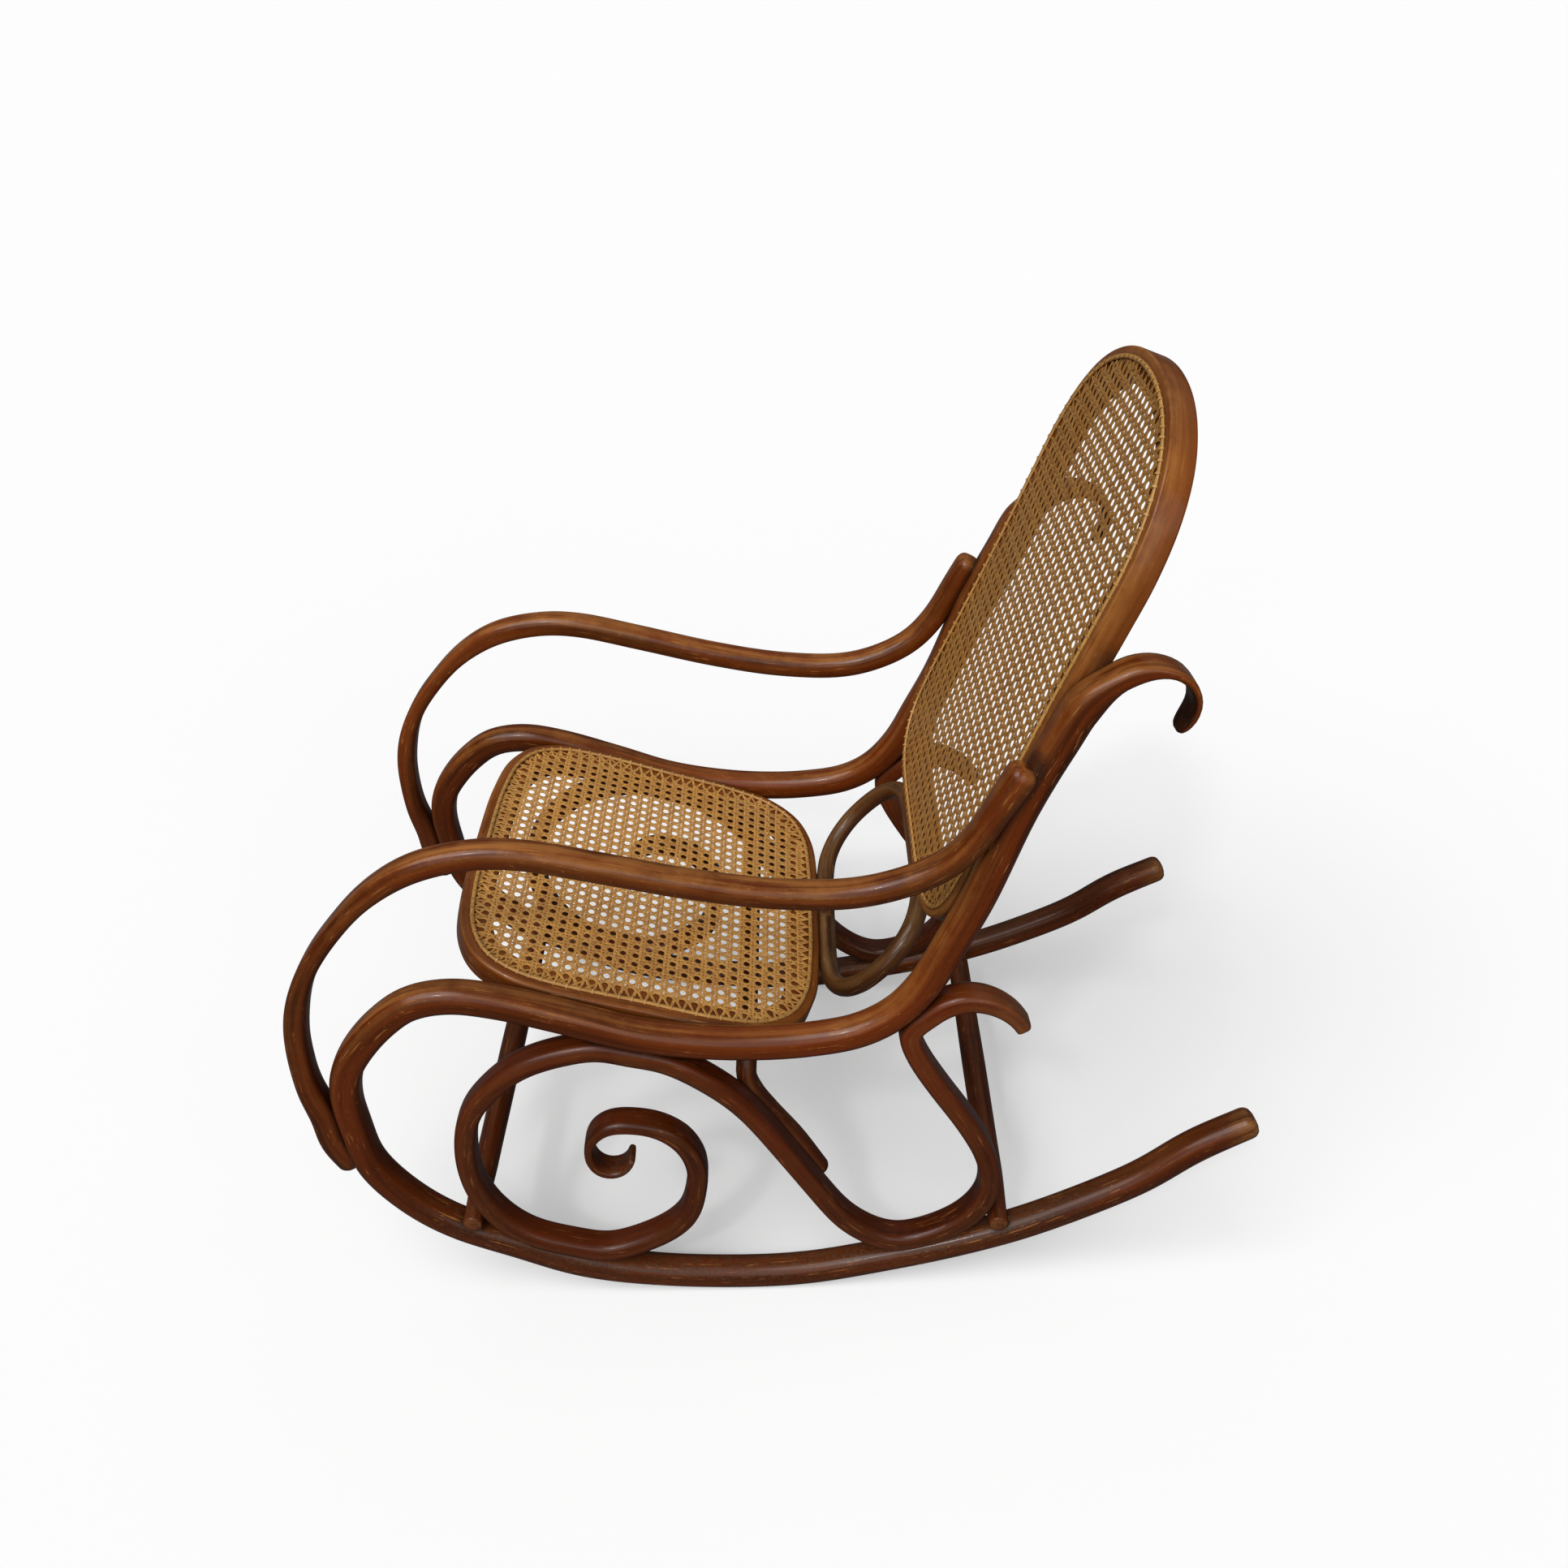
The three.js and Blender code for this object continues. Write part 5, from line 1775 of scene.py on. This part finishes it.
@dataclass
class BackLoop:
    """The oval loop between the rear of the seat and the bottom of the back."""

    seat: PanelFrame
    back: PanelFrame
    diameter: float = 18.0
    drawn_diameter: float = 21.0
    half_width: float = 153.0
    drop: float = 6.0
    corner_reach: float = 1.0534
    sides: int = 20
    steps: int = 150
    top_rub: float = 0.6
    scuff: float = 0.2

    def marks(self, place: Vector, normal: Vector, grain: Vector) -> Marks:
        """Dulled all round and rubbed pale along its upper side."""
        return self.top_rub * max(normal.z, 0.0), 0.0, self.scuff

    def build(self, workshop: Workshop, material: Material) -> None:
        """Makes the loop.

        Args:
            workshop: The chair's workshop, which the pieces go to.
            material: The finish of the wood.
        """
        reach = self.diameter / 2 * self.corner_reach + self.seat.clearance
        front = self.seat.panel.at(0.0, self.seat.panel.length + reach, self.drop)
        rear = self.back.panel.at(0.0, -reach, self.back.depth / 2)
        run = rear - front
        half = [front + run * along + X_AXIS * (across * self.half_width) for across, along in OVAL_SHARES]
        line = CentreLine([front, *half, rear, *mirrored(half)], closed=True)
        face = run.cross(X_AXIS).normalized()
        skin = Skin(self.sides)
        for share in steps_of(self.steps):
            out = line.tangent(share).cross(face).normalized()
            radius = self.drawn_diameter / 2
            skin.add(station(line.at(share), out, face, radius, radius), share * line.length)
        skin.close_ring()
        label = Label("back_loop_rod", "back_loop", material)
        workshop.add_wood(skin, label, self.marks, self.diameter / 2)


@dataclass(frozen=True)
class Lamp:
    """A wide soft light from far away, with the power that it gives each square metre."""

    name: str
    direction: tuple[float, float, float]
    spread_degrees: float
    strength: float
    away: float = 3.0

    def hang(self) -> None:
        """Adds the light."""
        data = bpy.data.lights.new(self.name, "SUN")
        data.angle = math.radians(self.spread_degrees)
        data.energy = self.strength
        lamp = link_new(self.name, data)
        lamp.location = Vector(self.direction) * self.away
        lamp.rotation_mode = "QUATERNION"
        lamp.rotation_quaternion = (-Vector(self.direction)).to_track_quat("-Z", "Y")


@dataclass
class Studio:
    """Pale floor, soft lamps and the camera of the photograph."""

    camera_place: tuple[float, float, float] = (1270.7, -6.0, 1376.0)
    look_down_degrees: float = 34.0
    look_round_degrees: float = 90.0
    lens: float = 32.03
    sensor_width: float = 36.0
    clip_end: float = 200.0
    floor_half: float = 40.0
    floor_tone: float = 0.73
    bounce_tone: float = 0.12
    sky_strength: float = 0.31
    horizon_share: float = 0.08
    lamps: Sequence[Lamp] = (
        Lamp("key_light", (0.45, -0.4, 0.9), 45.0, 2.0),
        Lamp("room_light", (1.0, 0.0, 0.35), 60.0, 1.1),
        Lamp("side_light", (0.9, 0.75, 0.6), 30.0, 0.2),
        Lamp("window_light", (0.75, -0.35, 0.9), 5.0, 0.4),
    )

    def camera(self, shift: float) -> None:
        """Puts the camera where the photograph was taken from.

        Args:
            shift: How far along y the chair was moved, in millimetres.
        """
        data = bpy.data.cameras.new("photo_camera")
        data.lens, data.sensor_width, data.clip_end = self.lens, self.sensor_width, self.clip_end
        camera = link_new("photo_camera", data)
        camera.location = (Vector(self.camera_place) + Y_AXIS * shift) * MM
        tilt, turn = math.radians(90.0 - self.look_down_degrees), math.radians(self.look_round_degrees)
        camera.rotation_euler = (tilt, 0.0, turn)
        bpy.context.scene.camera = camera

    def floor(self) -> None:
        """Lays the pale floor, which takes the shadow and throws little light back."""
        bm = bmesh.new()
        bmesh.ops.create_grid(bm, x_segments=1, y_segments=1, size=self.floor_half)
        mesh = bpy.data.meshes.new("floor")
        bm.to_mesh(mesh)
        bm.free()
        graph = MaterialGraph("pale_floor")
        pale = graph.node("BsdfDiffuse", {"Color": (self.floor_tone,) * 3 + (1.0,)})
        glow = graph.node("Emission", {"Strength": 1.0 - self.floor_tone})
        bright = graph.node("AddShader", {0: pale.outputs[0], 1: glow.outputs[0]})
        dull = graph.node("BsdfDiffuse", {"Color": (self.bounce_tone,) * 3 + (1.0,)})
        mixed = graph.node("MixShader", {0: graph.seen(), 1: dull.outputs[0], 2: bright.outputs[0]})
        mesh.materials.append(graph.surface(mixed))
        link_new("floor", mesh)

    def light(self) -> None:
        """Hangs the lamps and sets the sky round the studio, plain white where it is seen."""
        for lamp in self.lamps:
            lamp.hang()
        world = bpy.data.worlds.new("studio")
        world.use_nodes = True
        world.node_tree.nodes.clear()
        graph = Graph(world.node_tree)
        direction = graph.node("SeparateXYZ", {0: graph.node("TexCoord").outputs["Generated"]})
        height = graph.math("MAXIMUM", direction.outputs["Z"], self.horizon_share)
        fading = graph.math("MULTIPLY", height, self.sky_strength)
        lit = graph.node("Background", {"Color": (1, 1, 1, 1), "Strength": fading})
        white = graph.node("Background", {"Color": (1, 1, 1, 1), "Strength": 1.0})
        mixed = graph.node("MixShader", {0: graph.seen(), 1: lit.outputs[0], 2: white.outputs[0]})
        graph.node("OutputWorld", {"Surface": mixed.outputs[0]})
        bpy.context.scene.world = world
        bpy.context.scene.view_settings.view_transform = "Standard"


def drawing_shift(seat: PanelFrame, edge_round: float = 5.0) -> float:
    """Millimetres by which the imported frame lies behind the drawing, by the seat frame's front wall."""
    front = seat.panel.at(0.0, 0.0, seat.depth - edge_round)
    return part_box(seat.name)[0].y / MM - front.y


def main() -> None:
    """Builds the chair's pieces in order, then the studio round them."""
    logging.basicConfig(level=logging.INFO, format="%(asctime)s %(name)s %(message)s")
    plane = SidePlane()
    rail = SideRail(plane)
    seat_face, back_face = (PanelPlane.between(plane, ends) for ends in (SEAT_FACE_SHARES, BACK_FACE_SHARES))
    seat = PanelFrame("seat_frame", seat_face, SEAT_OUTLINE_SHARES, plane, 26.0, 34.0)
    back = PanelFrame("back_frame", back_face, BACK_OUTLINE_SHARES, plane, 28.0, 30.0)
    back.edge_round, back.wall_inset, back.edge_rub = 2.4, 1.2, 0.9
    workshop = Workshop(drawing_shift(seat), Effects())
    finishes = (
        BeechFinish("bent_beech"),
        BeechFinish("frame_beech", rgb(132, 68, 20), rgb(72, 31, 8)),
        BeechFinish(
            "loop_beech", rgb(92, 50, 20), rgb(40, 20, 7), rubbed=rgb(138, 102, 62), scuffed=rgb(78, 58, 34)
        ),
        # A darker copy of the bent beech: painted shade for the scroll, the stretchers and the seat bow under
        # the seat
        BeechFinish("scroll_shaded_beech", rgb(106, 43, 11), rgb(44, 15, 3), rubbed=rgb(134, 80, 40)),
        CaneFinish("seat_cane"),
        # A darker copy of the seat cane: painted shade for the upright back, which gets less light
        CaneFinish("back_cane", rgb(184, 132, 64), rgb(116, 70, 26)),
        CaneFinish("binder_cane", rgb(204, 154, 82), rgb(140, 92, 40)),
        SteelFinish("old_steel"),
    )
    rods, rims, worn, scroll, seat_cane, back_cane, strip, steel = (
        finish.material(workshop.effects) for finish in finishes
    )

    rail.build(workshop, rods)
    ScrollRod(plane, rail).build(workshop, scroll)
    ArmRod(plane, rail).build(workshop, rods)
    Stretcher("front_stretcher", (-0.339, 0.1095), 17.0, rail).build(workshop, scroll)
    Stretcher("rear_stretcher", (0.232, 0.0855), 15.0, rail, end_depth=3.0).build(workshop, scroll)
    for word, rim, cane in (("seat", seat, seat_cane), ("back", back, back_cane)):
        rim.build(workshop, rims)
        caning = Caning(word, rim)
        caning.build(workshop, cane)
        Binder(caning).build(workshop, strip)
    SeatBow(seat).build(workshop, scroll)
    BackLoop(seat, back).build(workshop, worn)
    workshop.mark_wood()
    for name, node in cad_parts.items():
        if name.endswith("_screw"):
            node.data.materials.clear()
            node.data.materials.append(steel)
            LOG.info("%s: dressed in steel", name)

    studio = Studio()
    studio.camera(workshop.shift)
    studio.floor()
    studio.light()


if __name__ == "__main__":
    main()
